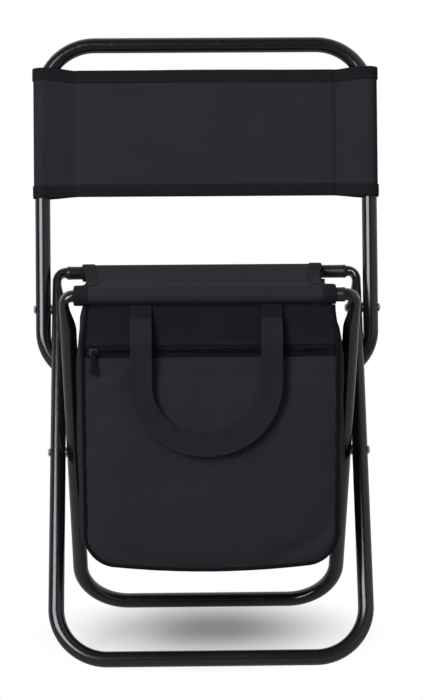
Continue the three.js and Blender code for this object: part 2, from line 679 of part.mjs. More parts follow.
const zip = frameGroup(bag, ZIP_PLANE, -ZIP_DROP, 0);
piece(zip, "zip_tape_upper", zipTape(1), BLACK_TAPE);
piece(zip, "zip_tape_lower", zipTape(-1), BLACK_TAPE);
piece(zip, "zip_row_upper", zipRow(1), BLACK_PLASTIC);
piece(zip, "zip_row_lower", zipRow(-1), BLACK_PLASTIC);
const stopX = ZIP_HALF - ZIP_STOP_LENGTH / 2;
piece(zip, "zip_stop_left", zipStop(), DARK_METAL, -stopX);
piece(zip, "zip_stop_right", zipStop(), DARK_METAL, stopX);
const sliderX = -ZIP_HALF + ZIP_STOP_LENGTH + GAP + SLIDER_LENGTH / 2;
piece(zip, "zip_slider", zipSlider(), DARK_METAL, sliderX);
piece(zip, "zip_pull", zipPull(), DARK_METAL, sliderX, BAIL_AXIS, 0);

const handlePlace = frameGroup(bag, 0, 0, 0);
handlePlace.position.x = HANDLE_SHIFT;
piece(handlePlace, "handle_patch_left", handlePatch(), BLACK_TAPE, -HANDLE_SPREAD / 2);
piece(handlePlace, "handle_patch_right", handlePatch(), BLACK_TAPE, HANDLE_SPREAD / 2);
piece(handlePlace, "carry_handle", carryHandle(), BLACK_TAPE, 0, HANDLE_HINGE, -HANDLE_DROP);

// The origin goes to the floor under the middle of the whole stool.
stool.updateMatrixWorld(true);
const middle = new THREE.Box3().setFromObject(stool, true).getCenter(new THREE.Vector3());
stool.position.set(-middle.x, -middle.y, 0);

export default stool;
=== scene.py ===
# Folding cooler stool: smooth tube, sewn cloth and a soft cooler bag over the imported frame, in studio light.
import logging
import math
from dataclasses import dataclass, field
from enum import Enum
from functools import partial
from itertools import accumulate
from typing import Optional, Sequence, Union

import bpy
from mathutils import Matrix, Vector, noise


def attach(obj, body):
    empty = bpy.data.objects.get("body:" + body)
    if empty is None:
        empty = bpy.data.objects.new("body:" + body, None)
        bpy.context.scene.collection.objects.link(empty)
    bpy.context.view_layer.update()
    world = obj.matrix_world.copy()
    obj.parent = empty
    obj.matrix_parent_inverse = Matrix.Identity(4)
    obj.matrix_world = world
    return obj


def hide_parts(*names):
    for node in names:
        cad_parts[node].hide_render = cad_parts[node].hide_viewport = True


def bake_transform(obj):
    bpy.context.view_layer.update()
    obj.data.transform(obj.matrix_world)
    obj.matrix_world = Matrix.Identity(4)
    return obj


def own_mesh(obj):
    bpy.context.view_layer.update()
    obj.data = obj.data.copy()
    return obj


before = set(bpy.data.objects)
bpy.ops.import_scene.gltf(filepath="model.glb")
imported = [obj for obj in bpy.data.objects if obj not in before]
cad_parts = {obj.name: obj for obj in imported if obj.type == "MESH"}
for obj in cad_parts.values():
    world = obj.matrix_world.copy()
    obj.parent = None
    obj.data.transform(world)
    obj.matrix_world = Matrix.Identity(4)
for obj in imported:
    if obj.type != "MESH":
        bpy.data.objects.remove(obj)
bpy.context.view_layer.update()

LOG = logging.getLogger("stool")

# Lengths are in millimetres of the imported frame. Meshes, flat runs of cloth and the studio are in metres.
MM = 0.001
TINY = 1e-9
WELD_DIGITS = 3
SHARP_ANGLE = math.radians(38)
THREAD_MAP = "thread"

# Places that several pieces share: seat bars, legs, backrest pivot and the bag's front.
BAR_RADIUS = 6.0
BAR_HEIGHT = 372.846
FRONT_BAR = -106.195
REAR_BAR = 77.805
SEAT_MIDDLE = -14.195
LEG_TOP = 412.42 + BAR_RADIUS
FLOOR_AXIS = 7.846
LEAN = math.radians(27.7456)
BACK_PIVOT = (58.718, 336.56)
RECLINE = math.radians(11.4503)
BAG_FRONT = -112.195

# Turns across, up and thickness into across, height and depth.
FACE_ON = Matrix(((1, 0, 0, 0), (0, 0, 1, 0), (0, 1, 0, 0), (0, 0, 0, 1)))

# A stitch: its thickness at each share of its length, its sides, and the share of each step that it covers.
STITCH_FORM = ((0.0, 0.35), (0.22, 0.9), (0.5, 1.0), (0.78, 0.9), (1.0, 0.35))
STITCH_SIDES = 6
STITCH_SPAN = (0.12, 0.88)

# The way the bag is drawn in under the seat roll: from which height, over which rise, and how much.
DRAW_START = 322.0
DRAW_RISE = 42.0
DRAW_NARROW = 0.036
DRAW_LEAN = 5.0

Pair = tuple[float, float]
Color = tuple[float, float, float, float]
Place = tuple[float, float, float]
Net = list[list[Vector]]
Humps = tuple[Place, ...]
Thing = bpy.types.Object


class Body(Enum):
    """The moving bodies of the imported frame."""

    OUTER = "outer_frame"
    INNER = "inner_frame"
    BACKREST = "backrest"
    BAG = "bag"
    SLIDER = "slider"
    PULL = "pull"
    HANDLE = "handle"


class Slot(Enum):
    """The record's material slots."""

    PAINT = "black_paint"
    STEEL = "bare_steel"
    PLASTIC = "black_plastic"
    NYLON = "grey_nylon"
    CLOTH = "charcoal_cloth"
    WEBBING = "black_webbing"
    FOAM = "white_foam"
    LINING = "silver_lining"
    ZIP_METAL = "dark_metal"


class Hold(Enum):
    """How a sheet of cloth is held."""

    STRETCHED = "stretched"
    HUNG = "hung"
    FOLDED = "folded"


# Shader expressions


class Value:
    """A shader value: one output of a node, with arithmetic that adds Math nodes."""

    def __init__(self, graph: "Graph", socket: bpy.types.NodeSocket) -> None:
        """Keeps the graph and the output socket."""
        self.graph = graph
        self.socket = socket

    def _math(self, operation: str, *operands: "Operand") -> "Value":
        """Adds one Math node for the operation."""
        return self.graph.node("ShaderNodeMath", {"operation": operation}, dict(enumerate(operands)))

    def __add__(self, other: "Operand") -> "Value":
        """self + other."""
        return self._math("ADD", self, other)

    def __radd__(self, other: "Operand") -> "Value":
        """other + self."""
        return self._math("ADD", other, self)

    def __sub__(self, other: "Operand") -> "Value":
        """self - other."""
        return self._math("SUBTRACT", self, other)

    def __rsub__(self, other: "Operand") -> "Value":
        """other - self."""
        return self._math("SUBTRACT", other, self)

    def __mul__(self, other: "Operand") -> "Value":
        """self * other."""
        return self._math("MULTIPLY", self, other)

    def __rmul__(self, other: "Operand") -> "Value":
        """other * self."""
        return self._math("MULTIPLY", other, self)

    def __truediv__(self, other: "Operand") -> "Value":
        """self / other."""
        return self._math("DIVIDE", self, other)

    def __abs__(self) -> "Value":
        """The distance from zero."""
        return self._math("ABSOLUTE", self)

    def floor(self) -> "Value":
        """The whole number below."""
        return self._math("FLOOR", self)

    def fraction(self) -> "Value":
        """What is left over the whole number below."""
        return self._math("FRACT", self)

    def highest(self, other: "Operand") -> "Value":
        """The larger of both."""
        return self._math("MAXIMUM", self, other)

    def mound(self) -> "Value":
        """A round hump from 0 to 1 and back over each whole step."""
        offset = self.fraction() - 0.5
        return 1 - offset * offset * 4


Operand = Union[Value, float, int]
SocketValue = Union[Value, float, int, Color, Place]


class Graph:
    """The node tree of one material or world."""

    def __init__(self, owner: Union[bpy.types.Material, bpy.types.World]) -> None:
        """Takes over the owner's node tree and empties it.

        Args:
            owner: The material or world that the nodes are for.
        """
        owner.use_nodes = True
        self.tree = owner.node_tree
        self.tree.nodes.clear()

    def node(
        self,
        kind: str,
        settings: Optional[dict] = None,
        sockets: Optional[dict] = None,
        output: Union[int, str] = 0,
    ) -> Value:
        """Adds a node.

        Args:
            kind: The node's type.
            settings: Its own settings, set first; stops are those of a colour ramp.
            sockets: A value or a link for each named or numbered input.
            output: The output that the result stands for.

        Returns:
            The chosen output.
        """
        made = self.tree.nodes.new(kind)
        for key, value in (settings or {}).items():
            if key == "stops":
                self._set_stops(made.color_ramp, value)
            else:
                setattr(made, key, value)
        for key, value in (sockets or {}).items():
            if isinstance(value, Value):
                self.tree.links.new(value.socket, made.inputs[key])
            else:
                made.inputs[key].default_value = value
        return Value(self, made.outputs[output] if made.outputs else None)

    @staticmethod
    def _set_stops(ramp: bpy.types.ColorRamp, stops: Sequence[Pair]) -> None:
        """Sets a ramp's grey stops.

        Args:
            ramp: The ramp to change.
            stops: Place and grey level of each stop.
        """
        while len(ramp.elements) < len(stops):
            ramp.elements.new(1.0)
        for element, (place, grey) in zip(ramp.elements, stops):
            element.position = place
            element.color = (grey, grey, grey, 1.0)

    def threads(self) -> tuple[Value, Value]:
        """Returns the cloth's own millimetres across and along its threads."""
        uv = self.node("ShaderNodeUVMap", {"uv_map": THREAD_MAP})
        return self.axis(uv, "X"), self.axis(uv, "Y")

    def axis(self, vector: Value, name: str) -> Value:
        """Returns one coordinate of a vector."""
        return self.node("ShaderNodeSeparateXYZ", None, {0: vector}, name)

    def ray(self, kind: str) -> Value:
        """Returns whether the light that is asked for comes along a kind of ray."""
        return self.node("ShaderNodeLightPath", None, None, f"Is {kind} Ray")

    def place(self) -> Value:
        """Returns the place on the piece in metres."""
        return self.node("ShaderNodeTexCoord", None, None, "Object")

    def grain(self, per_metre: float, detail: float = 2.0, vector: Optional[Value] = None) -> Value:
        """Adds soft noise.

        Args:
            per_metre: How many humps there are in a metre.
            detail: How many finer layers it has.
            vector: Where it is read, or the place on the piece.

        Returns:
            A value about 0.5.
        """
        where = vector if vector is not None else self.place()
        sockets = {"Vector": where, "Scale": per_metre, "Detail": detail}
        return self.node("ShaderNodeTexNoise", None, sockets, "Fac")

    def level(self, value: Value, stops: Sequence[Pair]) -> Value:
        """Runs a value through a grey ramp."""
        return self.node("ShaderNodeValToRGB", {"stops": stops}, {"Fac": value})

    def mix(self, share: Operand, first: SocketValue, second: SocketValue) -> Value:
        """Mixes two colours by a share from 0, the first, to 1, the second."""
        return self.node("ShaderNodeMix", {"data_type": "RGBA"}, {0: share, 6: first, 7: second}, 2)

    def bump(self, height: Value, depth: float, strength: float) -> Value:
        """Turns a height from 0 to 1, where 1 is a depth in metres, into a normal."""
        return self.node("ShaderNodeBump", None, {"Height": height, "Distance": depth, "Strength": strength})

    def surface(self, **sockets: SocketValue) -> None:
        """Ends the graph in one shader.

        Args:
            sockets: The shader's inputs, with underscores for spaces.
        """
        named = {self._title(key): value for key, value in sockets.items()}
        shader = self.node("ShaderNodeBsdfPrincipled", None, named)
        self.node("ShaderNodeOutputMaterial", None, {"Surface": shader})

    @staticmethod
    def _title(key: str) -> str:
        """Turns base_color into Base Color and specular_ior_level into Specular IOR Level."""
        return key.replace("_", " ").title().replace("Ior", "IOR")


def tinted(color: Color, factor: float) -> Color:
    """Returns a colour made lighter or darker by a factor."""
    return (color[0] * factor, color[1] * factor, color[2] * factor, 1.0)


# Finishes


@dataclass(frozen=True)
class Finish:
    """A surface finish, whose material is made on first use."""

    name: str
    slot: Slot
    color: Color

    def material(self) -> bpy.types.Material:
        """Finds the finish's material or makes it.

        Returns:
            The material.
        """
        found = bpy.data.materials.get(self.name)
        if found is None:
            found = bpy.data.materials.new(self.name)
            self.paint(Graph(found))
        return found

    def tint(self, graph: Graph, share: Value, dark: float, light: float) -> Value:
        """Mixes a darker and a lighter tint of the finish's colour by a share."""
        return graph.mix(share, tinted(self.color, dark), tinted(self.color, light))

    def paint(self, graph: Graph) -> None:
        """Draws the finish in an empty node tree."""
        raise NotImplementedError


@dataclass(frozen=True)
class Enamel(Finish):
    """Baked gloss enamel on tube, with orange peel and a few rubbed spots."""

    gloss: float = 0.16

    def paint(self, graph: Graph) -> None:
        """Draws the enamel.

        Args:
            graph: An empty node tree.
        """
        peel = graph.grain(420.0, 2.0)
        cloudy = graph.grain(24.0, 4.0)
        rubbed = graph.level(graph.grain(95.0, 6.0), [(0.58, 0.0), (0.75, 1.0)])
        graph.surface(
            base_color=self.tint(graph, cloudy, 0.8, 1.25),
            roughness=self.gloss + cloudy * 0.06 + rubbed * 0.1,
            specular_ior_level=0.53,
            specular_tint=(0.93, 0.9, 1.0, 1.0),
            normal=graph.bump(peel, depth=0.00004, strength=0.04),
        )


@dataclass(frozen=True)
class Moulded(Finish):
    """Moulded plastic with a faint flow grain."""

    gloss: float = 0.28
    shine: float = 0.3

    def paint(self, graph: Graph) -> None:
        """Draws the plastic.

        Args:
            graph: An empty node tree.
        """
        flow = graph.grain(60.0, 3.0)
        fine = graph.grain(900.0, 2.0)
        graph.surface(
            base_color=self.tint(graph, flow, 0.85, 1.2),
            roughness=self.gloss + flow * 0.12,
            specular_ior_level=self.shine,
            normal=graph.bump(fine, depth=0.00003, strength=0.4),
        )


@dataclass(frozen=True)
class Metal(Finish):
    """Metal with fine scratches and dull patches."""

    gloss: float = 0.3

    def paint(self, graph: Graph) -> None:
        """Draws the metal.

        Args:
            graph: An empty node tree.
        """
        stretch = graph.node("ShaderNodeMapping", None, {"Vector": graph.place(), "Scale": (1.0, 9.0, 9.0)})
        scratch = graph.grain(380.0, 4.0, stretch)
        patch = graph.grain(140.0, 3.0)
        graph.surface(
            base_color=self.tint(graph, patch, 0.8, 1.15),
            metallic=1.0,
            roughness=self.gloss + scratch * 0.15 + patch * 0.1,
            normal=graph.bump(scratch, depth=0.00003, strength=0.4),
        )


@dataclass(frozen=True)
class Woven(Finish):
    """Plain-woven polyester: warp over weft, each thread a little lighter or darker, and a soft mottling."""

    pitch: float = 0.9
    depth: float = 0.00012
    mottle: float = 0.05

    def paint(self, graph: Graph) -> None:
        """Draws the weave.

        Args:
            graph: An empty node tree.
        """
        across, along = graph.threads()
        warp, weft = across / self.pitch, along / self.pitch
        over = ((warp.floor() + weft.floor()) / 2).fraction() * 2
        warp_round, weft_round = warp.mound(), weft.mound()
        on_top = warp_round * (0.55 + 0.45 * weft_round)
        under = weft_round * (0.55 + 0.45 * warp_round)
        height = over * on_top + (1 - over) * under
        spun = {"noise_dimensions": "1D"}
        warp_tone = graph.node("ShaderNodeTexWhiteNoise", spun, {"W": warp.floor()}, "Value")
        weft_tone = graph.node("ShaderNodeTexWhiteNoise", spun, {"W": weft.floor() + 0.5}, "Value")
        tone = over * warp_tone + (1 - over) * weft_tone
        cloud = graph.level(graph.grain(22.0, 5.0), [(0.3, 0.0), (0.7, 1.0)])
        # The yarn's colour follows the weave's height, so the dips between threads are darker: painted shade,
        # over each thread's own tone.
        yarn_with_painted_shade = self.tint(graph, height * 0.75 + tone * 0.25, 0.7, 1.3)
        light, dark = 1 + self.mottle, 1 - self.mottle
        shade = graph.mix(cloud, (dark, dark, dark, 1.0), (light, light, light, 1.0))
        mixed = {"data_type": "RGBA", "blend_type": "MULTIPLY"}
        graph.surface(
            base_color=graph.node("ShaderNodeMix", mixed, {0: 1.0, 6: yarn_with_painted_shade, 7: shade}, 2),
            roughness=0.92 - 0.16 * height,
            specular_ior_level=0.03,
            normal=graph.bump(height, self.depth, strength=0.6),
        )


@dataclass(frozen=True)
class Ribbed(Finish):
    """Narrow woven tape: chevron ribs along the tape and a fine weft across it."""

    pitch: float = 1.4
    depth: float = 0.00016

    def paint(self, graph: Graph) -> None:
        """Draws the tape.

        Args:
            graph: An empty node tree.
        """
        across, along = graph.threads()
        zigzag = abs((across / (4 * self.pitch)).fraction() - 0.5) * 4 * self.pitch
        rib = ((along + zigzag) / self.pitch).mound()
        weft = (across / (0.6 * self.pitch)).mound()
        height = rib * (0.6 + 0.4 * weft)
        cloud = graph.grain(45.0, 4.0)
        # The colour follows the rib height and is darker in the grooves: painted shade, over a random cloud of
        # tone.
        graph.surface(
            base_color=self.tint(graph, height * 0.6 + cloud * 0.4, 0.7, 1.3),
            roughness=0.9 - 0.15 * height,
            specular_ior_level=0.05,
            normal=graph.bump(height, self.depth, strength=0.6),
        )


@dataclass(frozen=True)
class Spun(Finish):
    """Twisted sewing thread or cord."""

    twist: float = 1100.0

    def paint(self, graph: Graph) -> None:
        """Draws the thread.

        Args:
            graph: An empty node tree.
        """
        fibre = graph.grain(self.twist, 3.0)
        # The same grain lightens the raised fibres and darkens the low ones: painted shade, together with the
        # fibre's own tone.
        graph.surface(
            base_color=self.tint(graph, fibre, 0.6, 1.4),
            roughness=0.7 + 0.2 * fibre,
            specular_ior_level=0.08,
            normal=graph.bump(fibre, depth=0.0001, strength=0.6),
        )


@dataclass(frozen=True)
class Pored(Finish):
    """Closed-cell foam with fine pores."""

    def paint(self, graph: Graph) -> None:
        """Draws the foam.

        Args:
            graph: An empty node tree.
        """
        cell = {"Vector": graph.place(), "Scale": 700.0}
        pore = graph.node("ShaderNodeTexVoronoi", None, cell, "Distance")
        cloud = graph.grain(30.0, 3.0)
        # The colour darkens into the pores' pits: painted shade, over a random cloud of tone.
        graph.surface(
            base_color=self.tint(graph, cloud * 0.5 + pore * 0.5, 0.82, 1.0),
            roughness=0.85 + 0.1 * pore,
            specular_ior_level=0.2,
            normal=graph.bump(pore, depth=0.0003, strength=0.5),
        )


@dataclass(frozen=True)
class Film(Finish):
    """Metallised film with a crushed surface."""

    def paint(self, graph: Graph) -> None:
        """Draws the film.

        Args:
            graph: An empty node tree.
        """
        cell = {"Vector": graph.place(), "Scale": 110.0}
        crush = graph.node("ShaderNodeTexVoronoi", {"feature": "F2"}, cell, "Distance")
        fine = graph.grain(260.0, 4.0)
        graph.surface(
            base_color=self.tint(graph, fine, 0.8, 1.15),
            metallic=0.75,
            roughness=0.3 + 0.2 * fine,
            normal=graph.bump(crush * 0.7 + fine * 0.3, depth=0.0008, strength=0.6),
        )


ENAMEL = Enamel("tube_enamel", Slot.PAINT, (0.0075, 0.0072, 0.0085, 1.0))
STEEL = Metal("rivet_steel", Slot.STEEL, (0.46, 0.46, 0.47, 1.0))
SLEEVE_PLASTIC = Moulded("sleeve_plastic", Slot.PLASTIC, (0.012, 0.012, 0.0135, 1.0))
TOOTH_PLASTIC = Moulded("zip_tooth_plastic", Slot.PLASTIC, (0.0068, 0.0054, 0.0082, 1.0), 0.6, 0.1)
NYLON = Moulded("washer_nylon", Slot.NYLON, (0.05, 0.05, 0.054, 1.0), 0.45)
CLOTH = Woven("charcoal_oxford", Slot.CLOTH, (0.0262, 0.0228, 0.0305, 1.0))
# The header cloth is darker than the bag's other cloth: painted shade under the seat roll.
HEADER_CLOTH_PAINTED_SHADE = Woven("header_oxford_painted_shade", Slot.CLOTH, (0.0128, 0.0108, 0.0153, 1.0))
# The patch cloth takes the header's darker colour: painted shade under the seat roll.
PATCH_CLOTH_PAINTED_SHADE = Woven("patch_oxford_painted_shade", Slot.WEBBING, (0.0128, 0.0108, 0.0153, 1.0), 0.8)
STRAP_CLOTH = Woven("strap_oxford", Slot.WEBBING, (0.0205, 0.0178, 0.0238, 1.0), 0.8)
BINDING = Ribbed("binding_tape", Slot.WEBBING, (0.0125, 0.0112, 0.0142, 1.0))
ZIP_TAPE = Ribbed("zip_tape", Slot.WEBBING, (0.0096, 0.0078, 0.0116, 1.0), 0.9)
# The piping's near-black is partly the tape's own dark colour and partly painted shade along the seams.
PIPING_TAPE_AND_SHADE = Ribbed("piping_tape_dark_and_painted_shade", Slot.WEBBING, (0.0062, 0.0055, 0.007, 1.0), 1.0)
THREAD = Spun("sewing_thread", Slot.WEBBING, (0.03, 0.027, 0.033, 1.0))
FOAM = Pored("white_foam_sheet", Slot.FOAM, (0.78, 0.78, 0.75, 1.0))
LINING = Film("silver_film", Slot.LINING, (0.5, 0.51, 0.52, 1.0))
DULL_METAL = Metal("zip_dull_metal", Slot.ZIP_METAL, (0.016, 0.0155, 0.017, 1.0), 0.7)
RUNNER_METAL = Metal("zip_runner_metal", Slot.ZIP_METAL, (0.05, 0.0487, 0.0517, 1.0), 0.35)


# Mesh building


def smooth(share: float) -> float:
    """Returns a soft step of a share held between 0 and 1."""
    held = min(1.0, max(0.0, share))
    return held * held * (3 - 2 * held)


def ramp(value: float, start: float, run: float) -> float:
    """Returns a soft step from 0 where a value reaches the start to 1 after the run."""
    return smooth((value - start) / run)


def between(first: float, last: float, share: float) -> float:
    """Returns the number at a share of the way from first to last."""
    return first + (last - first) * share


def spread(first: float, last: float, steps: int) -> list[float]:
    """Returns evenly spread numbers from first to last, both included."""
    return [between(first, last, step / steps) for step in range(steps + 1)]


def turns(sides: int) -> list[float]:
    """Returns the angle of each corner of a ring."""
    return [2 * math.pi * side / sides for side in range(sides)]


def lengths(points: Sequence[Vector]) -> list[float]:
    """Returns the running length along a line of points."""
    steps = [(after - before).length for before, after in zip(points, points[1:])]
    return list(accumulate(steps, initial=0.0))


def down(net: Net) -> list[float]:
    """Returns the running length along the middle column of a net."""
    return lengths([row[len(row) // 2] for row in net])


def ripple(x: float, y: float, z: float, size: float) -> float:
    """Returns soft noise from about -1 to 1, whose humps are about the given size."""
    return noise.noise(Vector((x / size, y / size, z / size)))


def unevenness(humps: Humps, x: float, y: float) -> float:
    """Returns how uneven soft cloth is at a place, from the height, the layer and the size of its humps."""
    return sum(height * ripple(x, y, layer, size) for height, layer, size in humps)


def both_ends(half: Sequence[Pair]) -> list[Pair]:
    """Returns a whole turned profile from the half that starts in its middle."""
    return [(-along, radius) for along, radius in reversed(half[1:])] + [*half]


class Shell:
    """Points, faces and thread coordinates of one piece, gathered before its mesh is made."""

    def __init__(self) -> None:
        """Starts empty."""
        self.points: list[Vector] = []
        self.faces: list[tuple[int, ...]] = []
        self.threads: list[tuple[Pair, ...]] = []

    def face(self, corners: Sequence[int], threads: Optional[Sequence[Pair]] = None) -> None:
        """Adds one face, with its corners' thread coordinates if it has any."""
        self.faces.append(tuple(corners))
        self.threads.append(tuple(threads) if threads else tuple((0.0, 0.0) for _ in corners))

    def grid(
        self,
        net: Net,
        across: Sequence[float],
        along: Sequence[float],
        wrap: bool = False,
        flip: bool = False,
    ) -> list[list[int]]:
        """Adds a net of quads.

        Args:
            net: Rows of points.
            across: Thread coordinate of each column, and of the first one again if wrapped.
            along: Thread coordinate of each row.
            wrap: Joins the last column to the first.
            flip: Turns the faces over.

        Returns:
            The number of each point in its row.
        """
        columns = len(net[0])
        first = len(self.points)
        for row in net:
            self.points.extend(row)
        index = [[first + r * columns + c for c in range(columns)] for r in range(len(net))]
        for r in range(len(net) - 1):
            for c in range(columns if wrap else columns - 1):
                after = (c + 1) % columns
                corners = [index[r][c], index[r][after], index[r + 1][after], index[r + 1][c]]
                threads = [(across[c], along[r]), (across[c + 1], along[r])]
                threads += [(across[c + 1], along[r + 1]), (across[c], along[r + 1])]
                if flip:
                    corners.reverse()
                    threads.reverse()
                self.face(corners, threads)
        return index

    def ring_tube(self, rings: Net, closed: bool = False, flip: bool = False) -> None:
        """Adds a skin over rings of points, with flat ends unless the tube is closed on itself.

        Args:
            rings: One ring of points for each station.
            closed: Joins the last ring to the first.
            flip: Turns the faces over.
        """
        loops = [*rings, rings[0]] if closed else rings
        girth = lengths([*rings[0], rings[0][0]])
        run = lengths([sum(ring, Vector()) / len(ring) for ring in loops])
        index = self.grid(loops, girth, run, wrap=True, flip=flip)
        if not closed:
            ends = (index[0], list(reversed(index[-1])))
            for end in ends:
                self.face(end if flip else list(reversed(end)))

    def lathe(self, profile: Sequence[Pair], centre: Vector, sides: int, closed: bool) -> None:
        """Adds a form turned about X.

        Args:
            profile: Distance along the axis and radius of each ring.
            centre: The middle of the form.
            sides: How many sides it has.
            closed: Joins the last ring to the first, as in a washer.
        """
        rings = []
        for along, radius in profile:
            spokes = [Vector((along, radius * math.cos(a), radius * math.sin(a))) for a in turns(sides)]
            rings.append([centre + spoke for spoke in spokes])
        self.ring_tube(rings, closed, flip=True)

    def plate(self, outline: Sequence[Pair], front: float, back: float, bevel: float, place: Matrix) -> None:
        """Adds a plate with rounded-off edges.

        Args:
            outline: Corners, anticlockwise, across and up.
            front: Lower face of the plate.
            back: Upper face of the plate.
            bevel: Size of the rounded-off edge.
            place: Puts across, up and thickness into the frame.
        """
        middle = Vector((sum(x for x, _ in outline), sum(y for _, y in outline))) / len(outline)
        layers = [(front, bevel), (front + bevel, 0.0), (back - bevel, 0.0), (back, bevel)]
        rings = []
        for height, inset in layers:
            ring = []
            for x, y in outline:
                arm = Vector((x, y)) - middle
                pulled = middle + arm * max(0.0, 1 - inset / max(arm.length, TINY))
                ring.append(place @ Vector((pulled.x, pulled.y, height)))
            rings.append(ring)
        self.ring_tube(rings, flip=True)

    def stitch(self, start: Vector, end: Vector, out: Vector, width: float) -> None:
        """Adds one stitch of thread that dips into the cloth at both ends.

        Args:
            start: Where it comes up.
            end: Where it goes down.
            out: Direction away from the cloth.
            width: Thickness of the thread.
        """
        run = end - start
        side = run.cross(out).normalized()
        rise = side.cross(run).normalized()
        if rise.dot(out) < 0:
            rise = -rise
        rings = []
        for share, fat in STITCH_FORM:
            middle = start + run * share + rise * (width * (0.55 * fat - 0.3))
            ring = []
            for turn in turns(STITCH_SIDES):
                spoke = side * math.cos(turn) + rise * math.sin(turn)
                ring.append(middle + spoke * (0.5 * width * fat))
            rings.append(ring)
        self.ring_tube(rings)

    def seam(
        self, line: Sequence[Vector], outs: Sequence[Vector], pitch: float = 3.6, width: float = 0.55
    ) -> None:
        """Adds stitches along a line.

        Args:
            line: Points on the cloth.
            outs: Direction away from the cloth at each point.
            pitch: Distance from one stitch to the next.
            width: Thickness of the thread.
        """
        run = lengths(line)
        count = max(1, round(run[-1] / pitch))

        def at(distance: float) -> tuple[Vector, Vector]:
            """Finds a place on the line.

            Args:
                distance: How far along it is.

            Returns:
                The point and the direction away from the cloth.
            """
            step = 0
            while step < len(run) - 2 and run[step + 1] < distance:
                step += 1
            share = (distance - run[step]) / max(run[step + 1] - run[step], TINY)
            return line[step].lerp(line[step + 1], share), outs[step].lerp(outs[step + 1], share)

        for number in range(count):
            start, out = at(run[-1] * (number + STITCH_SPAN[0]) / count)
            end, _ = at(run[-1] * (number + STITCH_SPAN[1]) / count)
            self.stitch(start, end, out, width)

    def welded(self) -> "Shell":
        """Joins the points that lie at the same place.

        Returns:
            A copy with one point for each place.
        """
        kept = Shell()
        numbers: dict[Place, int] = {}
        renamed = []
        for point in self.points:
            key = spot(point)
            if key not in numbers:
                numbers[key] = len(kept.points)
                kept.points.append(point)
            renamed.append(numbers[key])
        for corners, threads in zip(self.faces, self.threads):
            new = [renamed[corner] for corner in corners]
            if len(set(new)) == len(new):
                kept.face(new, threads)
        return kept

    def normals(self) -> list[Vector]:
        """Averages the faces round each point.

        Returns:
            The outward direction at each point.
        """
        sums = [Vector() for _ in self.points]
        for corners in self.faces:
            a, b, c = (self.points[corners[i]] for i in (0, 1, 2))
            square = (b - a).cross(c - a)
            if len(corners) > 3:
                square += (c - a).cross(self.points[corners[3]] - a)
            for corner in corners:
                sums[corner] += square
        return [each.normalized() for each in sums]

    def thickened(self, thickness: float) -> "Shell":
        """Returns a closed copy with a thickness, half of it on each side.

        Args:
            thickness: Distance from the outer face to the inner one.

        Returns:
            The outer face, the inner face and a rim along every open edge.
        """
        made = Shell()
        directions = self.normals()
        count, half = len(self.points), thickness / 2
        made.points = [p + n * half for p, n in zip(self.points, directions)]
        made.points += [p - n * half for p, n in zip(self.points, directions)]
        uses: dict[frozenset[int], int] = {}
        for corners in self.faces:
            for a, b in zip(corners, corners[1:] + corners[:1]):
                uses[frozenset((a, b))] = uses.get(frozenset((a, b)), 0) + 1
        for corners, threads in zip(self.faces, self.threads):
            made.face(corners, threads)
            made.face([c + count for c in reversed(corners)], list(reversed(threads)))
            pairs = zip(corners, corners[1:] + corners[:1], threads, threads[1:] + threads[:1])
            for a, b, first, second in pairs:
                if uses[frozenset((a, b))] == 1:
                    made.face([b, a, a + count, b + count], [second, first, first, second])
        return made

    def piece(self, name: str, finish: Finish) -> Thing:
        """Makes the piece.

        Args:
            name: The piece's name.
            finish: What it is dressed in.

        Returns:
            The new object, in metres.
        """
        mesh = bpy.data.meshes.new(name)
        mesh.from_pydata([point * MM for point in self.points], [], self.faces)
        layer = mesh.uv_layers.new(name=THREAD_MAP)
        corners = [value for threads in self.threads for pair in threads for value in pair]
        layer.uv.foreach_set("vector", corners)
        mesh.polygons.foreach_set("use_smooth", [True] * len(mesh.polygons))
        mesh.set_sharp_from_angle(angle=SHARP_ANGLE)
        mesh.materials.append(finish.material())
        made = bpy.data.objects.new(name, mesh)
        bpy.context.scene.collection.objects.link(made)
        LOG.info("made %s with %d faces", name, len(self.faces))
        return made


def spot(point: Vector) -> Place:
    """Returns a point's place as a key, so that points at one place share it."""
    return (round(point.x, WELD_DIGITS), round(point.y, WELD_DIGITS), round(point.z, WELD_DIGITS))


def ride(made: Thing, body: Body, *nodes: str) -> Thing:
    """Lets a piece move with a body.

    Args:
        made: The piece.
        body: The body that carries it.
        nodes: CAD nodes that it stands for.

    Returns:
        The same piece.
    """
    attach(made, body.value)
    if nodes:
        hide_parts(*nodes)
    return made


# Tube frame


